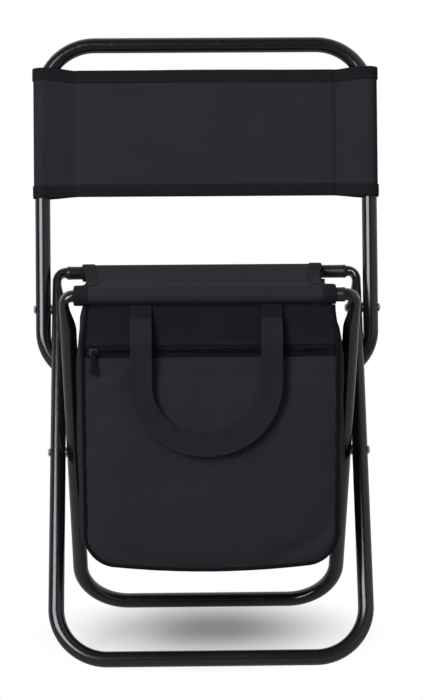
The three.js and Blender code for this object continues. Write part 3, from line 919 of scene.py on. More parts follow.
@dataclass
class TubeLoop:
    """One bent tube: a rounded rectangle whose outside edge keeps its line while its neck may thin."""

    node: str
    body: Body
    width: float
    low: float
    high: float
    low_bend: float
    high_bend: float
    origin: Pair
    tilt: float
    necked: bool = False
    head_down: bool = False
    radius: float = 8.0
    wall: float = 0.9
    bar_radius: float = BAR_RADIUS
    pinch: Pair = (4.75, 7.2)
    neck: float = 32.0
    butt_gap: float = 0.6
    sides: int = 40
    bend_steps: int = 22
    neck_steps: int = 12

    def section(self, along: float) -> Pair:
        """Returns the half sizes in the loop's plane and square to it.

        Args:
            along: Distance from the end of the upper bar.

        Returns:
            Half the thickness and half the breadth.
        """
        if not self.necked:
            return self.radius, self.radius
        bend = self.high_bend * math.pi / 2
        pinched = smooth(along / (bend / 2))
        opened = ramp(along, bend, self.neck)
        deep = between(between(self.bar_radius, self.pinch[0], pinched), self.radius, opened)
        broad = between(between(self.bar_radius, self.pinch[1], pinched), self.radius, opened)
        return deep, broad

    def edge(self) -> list[tuple[float, float, float, float]]:
        """Draws half of the outside edge, from the butt joint down.

        Returns:
            Place, direction outwards and distance from the upper bar's end.
        """
        side = -self.width / 2
        bend = self.high_bend * math.pi / 2
        line = [(-self.butt_gap / 2, self.high, math.pi / 2, 0.0)]
        for share in spread(0.0, 1.0, self.bend_steps):
            turn = math.pi / 2 * (1 + share)
            x = side + self.high_bend * (1 + math.cos(turn))
            line.append((x, self.high - self.high_bend * (1 - math.sin(turn)), turn, bend * share))
        for share in spread(0.0, 1.0, self.neck_steps)[1:]:
            down = self.neck * share
            line.append((side, self.high - self.high_bend - down, math.pi, bend + down))
        for share in spread(0.0, 1.0, self.bend_steps):
            turn = math.pi / 2 * (2 + share)
            x = side + self.low_bend * (1 + math.cos(turn))
            line.append((x, self.low + self.low_bend * (1 + math.sin(turn)), turn, math.inf))
        return line

    def rings(self, inset: float) -> Net:
        """Returns the tube's rings from one end of the butt joint round to the other.

        Args:
            inset: How far the surface lies inside the tube's outer one.

        Returns:
            One ring of points for each station, in the loop's own plane.
        """
        half = []
        for x, z, turn, along in self.edge():
            deep, broad = self.section(along)
            out = Vector((math.cos(turn), 0.0, math.sin(turn)))
            centre = Vector((x, 0.0, z)) - out * deep
            ring = []
            for angle in turns(self.sides):
                rise = out * ((deep - inset) * math.cos(angle))
                ring.append(centre + rise + Vector((0.0, (broad - inset) * math.sin(angle), 0.0)))
            half.append(ring)
        flipped = [[Vector((-p.x, p.y, p.z)) for p in ring] for ring in reversed(half)]
        return half + flipped

    def place(self) -> Matrix:
        """Returns where the loop's own plane goes in the frame."""
        turned = Matrix.Rotation(math.pi, 4, "Y") if self.head_down else Matrix.Identity(4)
        return Matrix.Translation((0.0, *self.origin)) @ Matrix.Rotation(self.tilt, 4, "X") @ turned

    def build(self) -> None:
        """Makes the tube with its wall and its open butt joint."""
        where = self.place()
        outer = [[where @ p for p in ring] for ring in self.rings(0.0)]
        inner = [[where @ p for p in ring] for ring in self.rings(self.wall)]
        run = lengths([sum(ring, Vector()) / len(ring) for ring in outer])
        girth = spread(0.0, 2 * math.pi * self.radius, self.sides)
        shell = Shell()
        skin = shell.grid(outer, girth, run, wrap=True)
        bore = shell.grid(inner, girth, run, wrap=True, flip=True)
        for side in range(self.sides):
            after = (side + 1) % self.sides
            shell.face([skin[0][after], skin[0][side], bore[0][side], bore[0][after]])
            shell.face([skin[-1][side], skin[-1][after], bore[-1][after], bore[-1][side]])
        ride(shell.piece(f"tube_{self.node}", ENAMEL), self.body, self.node)


@dataclass
class BarSleeve:
    """A plastic sleeve over a seat bar, with eased ends and a raised lip at each end."""

    node: str
    body: Body
    length: float
    centre: Pair
    bore: float = 6.3
    radius: float = 7.1
    ease: float = 0.5
    ease_middle: Pair = (0.15, 0.2)
    lip_length: float = 3.2
    lip_rise: float = 0.16
    sides: int = 36

    def build(self) -> None:
        """Makes the sleeve."""
        end = self.length / 2
        lip = end - self.lip_length
        waist, back = self.radius - self.lip_rise, self.ease_middle
        half = [(0.0, waist), (lip - self.ease, waist), (lip, self.radius), (end - self.ease, self.radius)]
        half += [(end - back[0], self.radius - back[1]), (end, self.radius - self.ease), (end, self.bore)]
        shell = Shell()
        shell.lathe(both_ends(half), Vector((0.0, *self.centre)), self.sides, closed=True)
        ride(shell.piece(f"sleeve_{self.node}", SLEEVE_PLASTIC), self.body, self.node)


@dataclass
class PivotPair:
    """A rivet with a nylon washer on each side of the stool."""

    name: str
    middle: float
    centre: Pair
    grip: float = 33.8
    shank: float = 2.5
    head: float = 4.5
    head_edge: float = 0.25
    rise: float = 2.2
    dome: Pair = (0.12, 0.86)
    dome_steps: int = 8
    dimple: tuple[Pair, ...] = ((0.03, 0.75), (0.16, 0.6), (0.22, 0.2))
    washer_radius: float = 5.5
    washer_bore: float = 2.8
    washer_half: float = 0.3
    washer_ease: float = 0.12
    sides: int = 32

    def rivet(self) -> list[Pair]:
        """Draws a rivet with a domed, slightly dimpled head at each end.

        Returns:
            Its turned profile.
        """
        base, edge = self.grip / 2, self.head_edge
        half = [(0.0, self.shank), (base, self.shank), (base, self.head - edge), (base + edge, self.head)]
        for share in spread(*self.dome, self.dome_steps):
            turn = share * math.pi / 2
            half.append((base + self.rise * math.sin(turn), self.head * math.cos(turn)))
        top = base + self.rise
        return both_ends(half + [(top - depth, radius) for depth, radius in self.dimple])

    def washer(self) -> list[Pair]:
        """Draws a washer with eased edges.

        Returns:
            Its turned profile.
        """
        half, ease = self.washer_half, self.washer_ease
        outer, bore = self.washer_radius, self.washer_bore
        profile = [(-half, bore + ease), (-half, outer - ease), (-half + ease, outer), (half - ease, outer)]
        profile += [(half, outer - ease), (half, bore + ease), (half - ease, bore), (-half + ease, bore)]
        return profile

    def build(self) -> None:
        """Makes both rivets and both washers."""
        for hand, side in (("left", -1), ("right", 1)):
            centre = Vector((side * self.middle, *self.centre))
            for kind, profile, finish in (("rivet", self.rivet(), STEEL), ("washer", self.washer(), NYLON)):
                node = f"{self.name}_{kind}_{hand}"
                shell = Shell()
                shell.lathe(profile, centre, self.sides, closed=kind == "washer")
                ride(shell.piece(f"turned_{node}", finish), Body.OUTER, node)


# Sling cloths


@dataclass
class SlingPath:
    """The line of a sling cloth over its two bars, with a pocket round each that is sewn back."""

    half_span: float
    radius: float
    reach: float
    seam_height: float
    lap: float = 1.1
    least_room: float = 0.6
    seam_margin: float = 9.0
    face_steps: int = 30
    seam_steps: int = 8
    slope_steps: int = 14
    arc_steps: int = 20
    corner_steps: int = 3

    @property
    def seam(self) -> float:
        """The place of a pocket's seam between the bars."""
        return self.half_span - self.reach

    def points(self, room: float) -> list[Pair]:
        """Returns the line from the sewn end of one pocket over the face to the other.

        Args:
            room: How far the bar may lie inwards in its pocket.

        Returns:
            Place between the bars and height towards the face.
        """
        seam = self.seam
        near = self.half_span - max(room, self.least_room)
        run = near - seam
        low_end = self.seam_height - self.lap

        def tangent(height: float, side: int) -> float:
            """Returns the angle on the bar at which a line from the seam touches its pocket."""
            lean = math.asin(self.radius / math.hypot(run, height))
            return math.atan2(-height, run) + side * (lean + math.pi / 2)

        def arc(centre: float, first: float, last: float, steps: int) -> list[Pair]:
            """Returns points on the pocket's round."""
            angles = spread(first, last, steps)
            return [(centre + self.radius * math.cos(a), self.radius * math.sin(a)) for a in angles]

        under, over = tangent(low_end, -1), tangent(self.seam_height, 1)
        back = arc(near, under, -math.pi / 2, self.corner_steps)
        front = arc(near, math.pi / 2, over, self.corner_steps)
        slope = spread(0.0, 1.0, self.slope_steps)
        line = [(between(seam, back[0][0], t), between(low_end, back[0][1], t)) for t in slope]
        line += back[1:]
        line += arc(self.half_span, -math.pi / 2, math.pi / 2, self.arc_steps)
        line += front
        last = front[-1]
        line += [(between(last[0], seam, t), between(last[1], self.seam_height, t)) for t in slope[1:]]
        inner = seam - self.seam_margin
        line += [(p, self.seam_height) for p in spread(seam, inner, self.seam_steps)[1:]]
        line += [(p, self.seam_height) for p in spread(inner, 0.0, self.face_steps // 2)[1:]]
        mirror = [(-p, q) for p, q in reversed(line[:-1])]
        return line + mirror


def outward(line: Sequence[Pair]) -> list[Pair]:
    """Finds which way a sling's line faces.

    Args:
        line: Its points.

    Returns:
        The direction away from the bars at each point.
    """
    found = []
    for index in range(len(line)):
        before, after = line[max(index - 1, 0)], line[min(index + 1, len(line) - 1)]
        run = Vector((after[0] - before[0], after[1] - before[1])).normalized()
        found.append((run.y, -run.x))
    return found


@dataclass
class Sling:
    """A sling cloth with its two binding tapes and its sewn seams."""

    path: SlingPath
    first: float
    last: float
    cloth: float = 1.0
    tape: float = 0.8
    tape_width: float = 12.0
    tape_lift: float = 0.15
    tape_swell: float = 0.12
    tape_places: tuple[float, ...] = (2.0, 4.0, 6.0, 8.0, 10.0, 11.4)
    tape_turned: float = 2.0
    stitch_inset: float = 1.8
    stitch_lift: float = 0.2
    sewn_at: Pair = (-3.0, 3.0)
    end_margin: float = 2.0
    across_steps: int = 36

    def room(self, side: float) -> float:
        """Returns how far the bars lie inwards at a place along them."""
        return 0.0

    def position(self, p: float, q: float, side: float) -> Vector:
        """Returns the place of a point between the bars, towards the face and along the bars."""
        raise NotImplementedError

    def ease(self, p: float, q: float, side: float) -> Pair:
        """Returns how far the soft cloth departs from its line: towards the face and along the bars."""
        raise NotImplementedError

    def net(self, sides: Sequence[float], heights: Sequence[float]) -> Net:
        """Returns a net that lies on or over the cloth.

        Args:
            sides: Places along the bars.
            heights: How far each of them lies over the middle of the cloth.

        Returns:
            One row for each place along the line, one column for each side.
        """
        columns = []
        for side, height in zip(sides, heights):
            line = self.path.points(self.room(side))
            column = []
            for (p, q), (out_p, out_q) in zip(line, outward(line)):
                lift, slide = self.ease(p, q, side)
                column.append(self.position(p + out_p * height, q + out_q * height + lift, side + slide))
            columns.append(column)
        return [list(row) for row in zip(*columns)]

    def panel(self) -> Shell:
        """Spreads the cloth over both bars.

        Returns:
            The cloth.
        """
        sides = spread(self.first, self.last, self.across_steps)
        net = self.net(sides, [0.0] * len(sides))
        shell = Shell()
        shell.grid(net, sides, down(net), flip=True)
        return shell.thickened(self.cloth)

    def binding(self, edge: float, inward: int) -> Shell:
        """Returns the tape that is folded over one cut edge.

        Args:
            edge: Place of the edge along the bars.
            inward: Direction from the edge into the cloth.

        Returns:
            The tape.
        """
        over = self.cloth / 2 + self.tape / 2 + self.tape_lift
        section = [(-0.35, -0.3), (-0.7, 0.15), (-0.55, over * 0.75), (0.1, over)]
        for a in self.tape_places:
            section.append((a, over + self.tape_swell * math.sin(math.pi * a / self.tape_width)))
        section.append((self.tape_width, over - self.tape_swell))
        net = self.net([edge + inward * a for a, _ in section], [h for _, h in section])
        shell = Shell()
        across = lengths([Vector((a, h)) for a, h in section])
        shell.grid(net, across, down(net), flip=inward > 0)
        return shell.thickened(self.tape)

    def stitch_line(self, side: float, height: float) -> tuple[list[Vector], list[Vector]]:
        """Returns a line of stitches round both bars, and the directions away from the cloth."""
        rows = self.net([side, side], [height, height + 1.0])
        return [low for low, _ in rows], [high - low for low, high in rows]

    def bar_line(self, p: float, height: float) -> tuple[list[Vector], list[Vector]]:
        """Returns a line of stitches along the bars on the face, and the directions away from it.

        Args:
            p: Place between the bars.
            height: How far the line lies over the middle of the cloth.

        Returns:
            Points and directions.
        """
        line, outs = [], []
        for side in spread(self.first + self.end_margin, self.last - self.end_margin, self.across_steps):
            q = self.face_height(p, side)
            lift, slide = self.ease(p, q, side)
            line.append(self.position(p, q + height + lift, side + slide))
            outs.append(self.position(p, q + height + 1 + lift, side + slide) - line[-1])
        return line, outs

    def face_height(self, p: float, side: float) -> float:
        """Returns the height of the face's middle layer at a place between the bars."""
        face = [pair for pair in self.path.points(self.room(side)) if pair[1] > 0]
        return min(face, key=lambda pair: abs(pair[0] - p))[1]

    def pieces(self, name: str, edges: Sequence[str]) -> list[Thing]:
        """Makes the cloth, the tape on each edge and the stitches.

        Args:
            name: What the pieces' names start with.
            edges: Names of the first and of the last edge.

        Returns:
            The cloth, the two tapes and the stitches.
        """
        made = [self.panel().piece(f"{name}_sling", CLOTH)]
        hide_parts(f"{name}_panel")
        for edge, place, inward in zip(edges, (self.first, self.last), (1, -1)):
            made.append(self.binding(place, inward).piece(f"{name}_binding_{edge}", BINDING))
            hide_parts(f"{name}_tape_{edge}")
        sewing = Shell()
        top = self.cloth / 2 + self.tape + self.stitch_lift
        inset = self.stitch_inset
        for side in (self.first + self.tape_width - inset, self.last - self.tape_width + inset):
            sewing.seam(*self.stitch_line(side, top))
        for way in (1, -1):
            for beside in self.sewn_at:
                sewing.seam(*self.bar_line(way * (self.path.seam + beside), self.cloth / 2))
        return [*made, sewing.piece(f"{name}_stitches", THREAD)]


@dataclass
class SeatSling(Sling):
    """The seat cloth over the two seat bars."""

    centre: Pair = (SEAT_MIDDLE, BAR_HEIGHT)
    sag: float = 7.0
    sag_power: float = 1.25
    held: float = 8.0
    waist: float = 0.06
    humps: Humps = ((0.4, 0.0, 38.0), (0.2, 9.0, 13.0))
    groove: float = 0.35
    groove_beside: float = 2.0
    groove_width: float = 2.6
    sewn_at: Pair = (0.6, 3.6)
    bend_inset: float = 4.0
    cloth_run: float = 0.292
    tape_run: float = 0.3

    def position(self, p: float, q: float, side: float) -> Vector:
        """Returns the place in the frame: P runs back, Q up and the bars across."""
        return Vector((side, self.centre[0] + p, self.centre[1] + q))

    def ease(self, p: float, q: float, side: float) -> Pair:
        """Lets the face sag unevenly between the bars and draws its edges in there.

        Args:
            p: Place between the bars.
            q: Height towards the face.
            side: Place along the bars.

        Returns:
            The way towards the face and along the bars.
        """
        if q < 0:
            return 0.0, 0.0
        hang = max(0.0, 1 - (p / (self.path.half_span - self.held)) ** 2) ** self.sag_power
        hang *= smooth(q / self.path.radius)
        rest = unevenness(self.humps, side, p)
        beside = abs(p) - self.path.half_span + self.path.reach - self.groove_beside
        groove = self.groove * math.exp(-((beside / self.groove_width) ** 2))
        middle = (self.first + self.last) / 2
        return hang * (rest - self.sag) - groove, (middle - side) * self.waist * hang

    def build(self) -> None:
        """Makes the cloth, the tapes and the stitches, fixed in the frame."""
        made = self.pieces("seat", ("left", "right"))
        rear = self.centre[0] + self.path.seam - self.bend_inset
        front = self.centre[0] - self.path.seam + self.bend_inset
        for each in made:
            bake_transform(each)


@dataclass
class BackSling(Sling):
    """The backrest cloth over the two side tubes, whose upper ends bend inwards."""

    pivot: Pair = BACK_PIVOT
    recline: float = RECLINE
    bend_start: float = 224.5
    bend_inner: float = 48.0
    tube_span: Pair = (136.0, 30.0)
    climb: Pair = (-1.3, 2.3)
    dip: float = 0.5
    dip_reach: float = 100.0
    free_reach: float = 150.0
    humps: Humps = ((0.5, 3.0, 55.0), (0.16, 7.0, 16.0))
    sink: float = 0.5
    panel_rise: float = 1.1
    panel_edge: float = 1.0
    panel_run: float = 7.0
    groove: float = 0.45
    groove_width: float = 1.4
    cloth_run: float = 0.46
    tape_run: float = 0.47

    def room(self, side: float) -> float:
        """Returns how far the bent tube has moved inwards at a height."""
        into = max(0.0, side - self.bend_start)
        return self.bend_inner - math.sqrt(self.bend_inner**2 - into**2)

    def position(self, p: float, q: float, side: float) -> Vector:
        """Returns the place in the frame: P runs across, Q forwards and the bars up.

        Args:
            p: Place between the bars.
            q: Height towards the face.
            side: Place along the bars.

        Returns:
            The point.
        """
        lean_y, lean_z = math.sin(self.recline), math.cos(self.recline)
        y = self.pivot[0] + side * lean_y - q * lean_z
        return Vector((p, y, self.pivot[1] + side * lean_z + q * lean_y))

    def ease(self, p: float, q: float, side: float) -> Pair:
        """Makes the face softly uneven and lets the edges ride up the tubes a little.

        Args:
            p: Place between the bars.
            q: Height towards the face.
            side: Place along the bars.

        Returns:
            The way towards the face and along the bars.
        """
        share = (side - self.first) / (self.last - self.first)
        tube = ramp(abs(p), *self.tube_span)
        dip = self.dip * smooth(1 - abs(p) / self.dip_reach)
        low, high = self.climb
        slide = between(low * tube, high * tube + dip - self.dip, smooth(share))
        if q < 0:
            return 0.0, slide
        free = max(0.0, 1 - (p / self.free_reach) ** 2)
        rest = unevenness(self.humps, p, side)
        seam = self.path.seam
        panel = self.panel_rise * smooth((seam - self.panel_edge - abs(p)) / self.panel_run)
        groove = sum(math.exp(-(((abs(p) - seam - at) / self.groove_width) ** 2)) for at in self.sewn_at)
        return free * (rest - self.sink) + panel - self.groove * groove, slide

    def build(self) -> None:
        """Makes the cloth, the tapes and the stitches, which ride on the backrest."""
        made = self.pieces("backrest", ("bottom", "top"))
        for each in made:
            ride(each, Body.BACKREST)


# Cooler bag


def header_draw(z: float) -> Pair:
    """Returns the bag's share of its width and its lean backwards, drawn in under the seat roll."""
    rise = ramp(z, DRAW_START, DRAW_RISE)
    return 1 - DRAW_NARROW * rise, DRAW_LEAN * rise


@dataclass
class CoolerBag:
    """The insulated bag: a soft shell of front, gusset and back, with header, foam, lining and piping."""

    half_width: float = 122.5
    front: float = BAG_FRONT
    back: float = 23.684
    bottom: float = 100.846
    bow: float = 5.0
    corner: float = 30.0
    cloth: float = 1.0
    gap: float = 0.3
    foam: float = 3.0
    lining: float = 0.8
    front_top: float = 362.5
    back_top: float = 371.8
    pocket_start: float = -103.0
    pocket_end: float = -72.0
    zip_sill: float = 312.846
    header_low: float = 324.846
    header_top: float = 364.4
    header_free: Pair = (10.0, 6.0)
    header_sewn: Pair = (3.0, 9.0)
    header_rows: int = 24
    header_columns: int = 72
    wave: float = 0.6
    fold: float = 0.7
    fold_pitch: float = 6.2
    pucker: float = 0.24
    pucker_span: Pair = (78.0, 20.0)
    held_above: float = 300.0
    turn_height: float = 150.0
    puff: float = 4.2
    most_inward: float = -0.2
    most_slip: float = 1.0
    steps: int = 18
    corner_columns: int = 9
    flat_columns: int = 28
    low_rows: int = 9
    depth_steps: int = 20
    squash_keep: float = 0.12
    squash_behind: float = 1.1
    flare: float = 9.5
    flare_spare: float = 3.0
    flare_span: Pair = (104.0, 14.0)
    flare_tops: Pair = (376.0, 356.0)
    flare_fade: float = 30.0
    leg_room: float = 5.0
    leg_ahead: float = 11.0
    leg_run: float = 18.0
    leg_top: Pair = (FRONT_BAR, BAR_HEIGHT)
    tub_drop: float = 0.6
    tub_drop_run: float = 50.0
    tub_wave: float = 0.12
    tub_wave_size: float = 30.0
    cord: float = 1.8
    cord_sides: int = 14
    cord_steps: int = 36
    cord_behind: float = 0.4
    cord_top: float = 363.0
    tongue: float = 0.6
    seam_reach: float = 0.7
    groove: float = 0.55
    sewn_rows: tuple[float, ...] = (309.0, 304.8, 295.0)
    rows: list[float] = field(
        default_factory=lambda: [
            362.5, 350.0, 337.5, 324.846, 312.846, 309.0, 307.0, 304.8, 302.5, 300.0, 297.0, 295.0, 293.0,
            287.0, 280.0, 271.0, 262.0, 253.0, 244.0, 235.0, 226.0, 217.0, 208.0, 199.0, 190.0, 181.0, 172.0,
            162.0, 150.0,
        ]
    )
    strip_run: float = 0.76
    film_flat: Pair = (0.48, 0.6)
    film_area: float = 0.205
    foam_fill: float = 0.9
    sewn_points: Net = field(default_factory=list)

    def top_at(self, y: float) -> float:
        """Returns the height of the bag's upper edge at a depth, which clears the front seat pocket."""
        share = smooth((y - self.pocket_start) / (self.pocket_end - self.pocket_start))
        return between(self.front_top, self.back_top, share)

    def columns(self, inset: float) -> list[Pair]:
        """Returns the columns of a panel: place across and the height of the lower edge there.

        Args:
            inset: How far the panel lies inside the bag's outline.

        Returns:
            The columns from left to right.
        """
        half, low = self.half_width - inset, self.bottom + inset
        corner = self.corner - inset
        flat = half - corner
        right = []
        for share in spread(0.0, 1.0, self.flat_columns // 2):
            right.append((flat * share, low + self.bow * share**2))
        for share in spread(0.0, 1.0, self.corner_columns)[1:]:
            turn = share * math.pi / 2
            right.append((flat + corner * math.sin(turn), low + self.bow + corner * (1 - math.cos(turn))))
        return [(-x, z) for x, z in reversed(right[1:])] + right

    def panel_net(self, y: float, inset: float) -> Net:
        """Returns the net of the front or the back panel at a depth.

        Args:
            y: Depth.
            inset: How far it lies inside the bag's outline.

        Returns:
            Rows from the top down, columns from left to right.
        """
        ahead = (self.back - y) / (self.back - self.front)
        sill = self.zip_sill
        stretch = (self.top_at(y) - sill) / (self.front_top - sill)
        high = [sill + (z - sill) * stretch if z > sill else z for z in self.rows]
        columns = []
        for x, low in self.columns(inset):
            heights = high + spread(self.turn_height, low, self.low_rows)[1:]
            column = [(z, header_draw(z)) for z in heights]
            columns.append([Vector((x * narrow, y + lean * ahead, z)) for z, (narrow, lean) in column])
        return [list(row) for row in zip(*columns)]

    def gusset_net(self, first: float, last: float, inset: float) -> Net:
        """Returns the net of the strip round the sides and the bottom.

        Args:
            first: Depth of its front edge.
            last: Depth of its rear edge.
            inset: How far it lies inside the bag's outline.

        Returns:
            One row for each place along the outline, one column for each depth.
        """
        strips = []
        for y in spread(first, last, self.depth_steps):
            net = self.panel_net(y, inset)
            left = [row[0] for row in net]
            right = [row[-1] for row in net]
            strips.append([*left, *net[-1][1:-1], *reversed(right)])
        return [list(row) for row in zip(*strips)]

    def shell_nets(self, inset: float, behind: float) -> tuple[Net, Net, Net]:
        """Returns the nets of front, gusset and back, inside the outline and behind the faces."""
        first, last = self.front + behind, self.back - behind
        return self.panel_net(first, inset), self.gusset_net(first, last, inset), self.panel_net(last, inset)

    def joined(self, nets: Sequence[Net]) -> Shell:
        """Joins the nets of front, gusset and back, seen from outside.

        Args:
            nets: The three nets.

        Returns:
            One welded shell.
        """
        shell = Shell()
        for net, flip in zip(nets, (True, False, False)):
            across = [p.y for p in net[0]] if net is nets[1] else [p.x for p in net[-1]]
            shell.grid(net, across, down(net), flip=flip)
        return shell.welded()

    def swollen(self, nets: Sequence[Net]) -> dict[Place, Vector]:
        """Lets the sewn shell swell and sag as cloth, held along its seams, the zip and its upper edge.

        Args:
            nets: The nets of front, gusset and back.

        Returns:
            The new place of each point.
        """
        front, gusset, back = nets
        shell = self.joined(nets)
        fixed = {spot(p) for row in gusset for p in (row[0], row[-1])}
        fixed |= {spot(p) for p in gusset[0] + gusset[-1] + back[0]}
        fixed |= {spot(p) for row in front for p in row if p.z >= self.held_above}
        mesh = bpy.data.meshes.new("swelling")
        mesh.from_pydata([p * MM for p in shell.points], [], shell.faces)
        body = bpy.data.objects.new("swelling", mesh)
        bpy.context.scene.collection.objects.link(body)
        held = body.vertex_groups.new(name="held")
        held.add([i for i, p in enumerate(shell.points) if spot(p) in fixed], 1.0, "REPLACE")
        self.set_cloth(body.modifiers.new("swelling", "CLOTH"), held.name)
        for step in range(1, self.steps + 1):
            bpy.context.scene.frame_set(step)
        settled = body.evaluated_get(bpy.context.evaluated_depsgraph_get())
        moved = {}
        most = 0.0
        for before, out, vertex in zip(shell.points, shell.normals(), settled.data.vertices):
            move = vertex.co / MM - before
            most = max(most, move.length)
            moved[spot(before)] = before + self.capped(move, out)
        bpy.data.objects.remove(body)
        bpy.data.meshes.remove(mesh)
        bpy.context.scene.frame_set(1)
        LOG.info("the bag swells by up to %.1f mm before the cap", most)
        return moved

    def set_cloth(self, modifier: bpy.types.Modifier, held: str) -> None:
        """Sets up the cloth of the swelling bag.

        Args:
            modifier: The Cloth modifier.
            held: Name of the group of held points.
        """
        cloth = modifier.settings
        cloth.quality = 5
        cloth.mass = 0.15
        cloth.tension_stiffness = 40.0
        cloth.compression_stiffness = 40.0
        cloth.shear_stiffness = 20.0
        cloth.bending_stiffness = 4.0
        cloth.shrink_min = -0.006
        cloth.use_pressure = True
        cloth.uniform_pressure_force = 0.9
        cloth.vertex_group_mass = held
        cloth.effector_weights.gravity = 0.25
        modifier.collision_settings.use_collision = False
        modifier.point_cache.frame_start = 1
        modifier.point_cache.frame_end = self.steps

    def capped(self, move: Vector, out: Vector) -> Vector:
        """Holds a point's move within the puff outwards and well inside the clearance inwards.

        Args:
            move: How the point has moved.
            out: Direction outwards.

        Returns:
            The move that is left.
        """
        rise = move.dot(out)
        slip = move - out * rise
        soft = self.puff * math.tanh(rise / self.puff) if rise > 0 else max(rise, self.most_inward)
        if slip.length > self.most_slip:
            slip = slip.normalized() * self.most_slip
        return out * soft + slip

    def flared(self, point: Vector) -> Vector:
        """Lets the gusset bulge sideways behind the front seam and give way to the leg that crosses it.

        Args:
            point: A point of the swollen gusset.

        Returns:
            The point moved outwards.
        """
        along = (point.y - self.front) / (self.back - self.front)
        top = self.flare_tops[0 if point.x < 0 else 1]
        side = ramp(abs(point.x), *self.flare_span) * smooth((top - point.z) / self.flare_fade)
        leg = self.leg_top[0] + (self.leg_top[1] - point.z) * math.tan(LEAN)
        clear = smooth((leg - self.leg_ahead - point.y) / self.leg_run)
        room = between(self.leg_room, self.flare + self.flare_spare, clear)
        bulge = abs(point.x) - self.half_width + self.flare * (1 - (2 * along - 1) ** 6) * side
        if bulge > 0:
            bulge = room * math.tanh(bulge / room)
        return Vector((math.copysign(self.half_width + bulge, point.x), point.y, point.z))

    def walls(self) -> None:
        """Makes the front panel, the gusset and the back panel from one swollen shell."""
        middle = self.cloth / 2
        nets = self.shell_nets(-self.seam_reach, middle)
        moved = self.swollen(nets)
        front, gusset, back = ([[moved[spot(p)] for p in row] for row in net] for net in nets)
        sill = self.rows.index(self.zip_sill)
        for z in self.sewn_rows:
            index = self.rows.index(z)
            front[index] = [Vector((p.x, p.y + self.groove, p.z)) for p in front[index]]
            self.sewn_points.append(front[index])
        tuck = self.cloth + self.gap
        depth = self.back - self.front
        for row in gusset:
            for index, point in enumerate(self.flared(each) for each in row):
                y = between(self.front + tuck, self.back - tuck, (point.y - self.front) / depth)
                row[index] = Vector((point.x, y, point.z))
        shells = []
        for net, flip in ((front[sill:], True), (gusset, False), (back, False)):
            across = [p.y for p in net[len(net) // 2]] if net is gusset else [p.x for p in net[0]]
            shell = Shell()
            shell.grid(net, across, down(net), flip=flip)
            shells.append(shell.thickened(self.cloth))
        face = ride(shells[0].piece("bag_face", CLOTH), Body.BAG, "bag_front_panel")
        strip = ride(shells[1].piece("bag_side_strip", CLOTH), Body.BAG, "bag_gusset")
        rear = ride(shells[2].piece("bag_rear", CLOTH), Body.BAG, "bag_back_panel")
        self.flatten(strip)
        self.flatten(rear)

    def flatten(self, made: Thing) -> None:
        """Gives a piece of the bag its own copy of its mesh."""
        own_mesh(made)

    def header(self) -> None:
        """Makes the cloth above the zip, which hangs from the seat roll in a slight wave."""
        half = self.half_width
        net = []
        for z in spread(self.header_top, self.header_low, self.header_rows):
            below, above = self.header_top - z, z - self.header_low
            free = smooth(below / self.header_free[0]) * smooth(above / self.header_free[1])
            row = []
            narrow, lean = header_draw(z)
            for x in spread(-half, half, self.header_columns):
                fold = self.fold * math.sin(above / self.fold_pitch + ripple(x, 0.0, 2.0, 60.0))
                ends = ramp(abs(x), *self.pucker_span)
                pucker = self.pucker * ends * math.sin((0.4 * abs(x) - 0.9 * z) / 1.5)
                wave = free * (self.wave * ripple(x, z, 4.0, 45.0) + fold + pucker)
                row.append(Vector((x * narrow, self.front + self.cloth / 2 + wave + lean, z)))
            net.append(row)
        shell = Shell()
        shell.grid(net, [p.x for p in net[0]], [-row[0].z for row in net], flip=True)
        # The darker header cloth is painted shade under the seat roll.
        made = shell.thickened(self.cloth).piece("bag_header_cloth", HEADER_CLOTH_PAINTED_SHADE)
        ride(made, Body.BAG, "bag_header")
        self.flatten(made)

    def tub(self, inset: float, thickness: float, name: str, finish: Finish, node: str) -> Thing:
        """Makes the foam or the lining: a tub inside the walls, open at the zip and at the top.

        Args:
            inset: How far its outer face lies inside the bag's outline.
            thickness: Thickness of the sheet.
            name: The piece's name.
            finish: What it is dressed in.
            node: The CAD node that it stands for.

        Returns:
            The piece.
        """
        middle = inset + thickness / 2
        front, gusset, back = self.shell_nets(middle, middle)
        sill = self.rows.index(self.held_above)
        for net in (gusset, back):
            for row in net:
                for p in row:
                    p.z -= self.tub_drop * ramp(p.z, self.held_above, self.tub_drop_run)
                    p.x += self.tub_wave * ripple(p.x, p.y, p.z, self.tub_wave_size)
        shell = self.joined((front[sill:], gusset, back))
        made = shell.thickened(thickness).piece(name, finish)
        ride(made, Body.BAG, node)
        self.flatten(made)
        return made

    def insulation(self) -> None:
        """Makes the foam and the lining."""
        inset = self.cloth + self.gap
        foam = self.tub(inset, self.foam, "bag_foam_tub", FOAM, "bag_foam")
        film = self.tub(inset + self.foam + self.gap, self.lining, "bag_film_tub", LINING, "bag_lining")

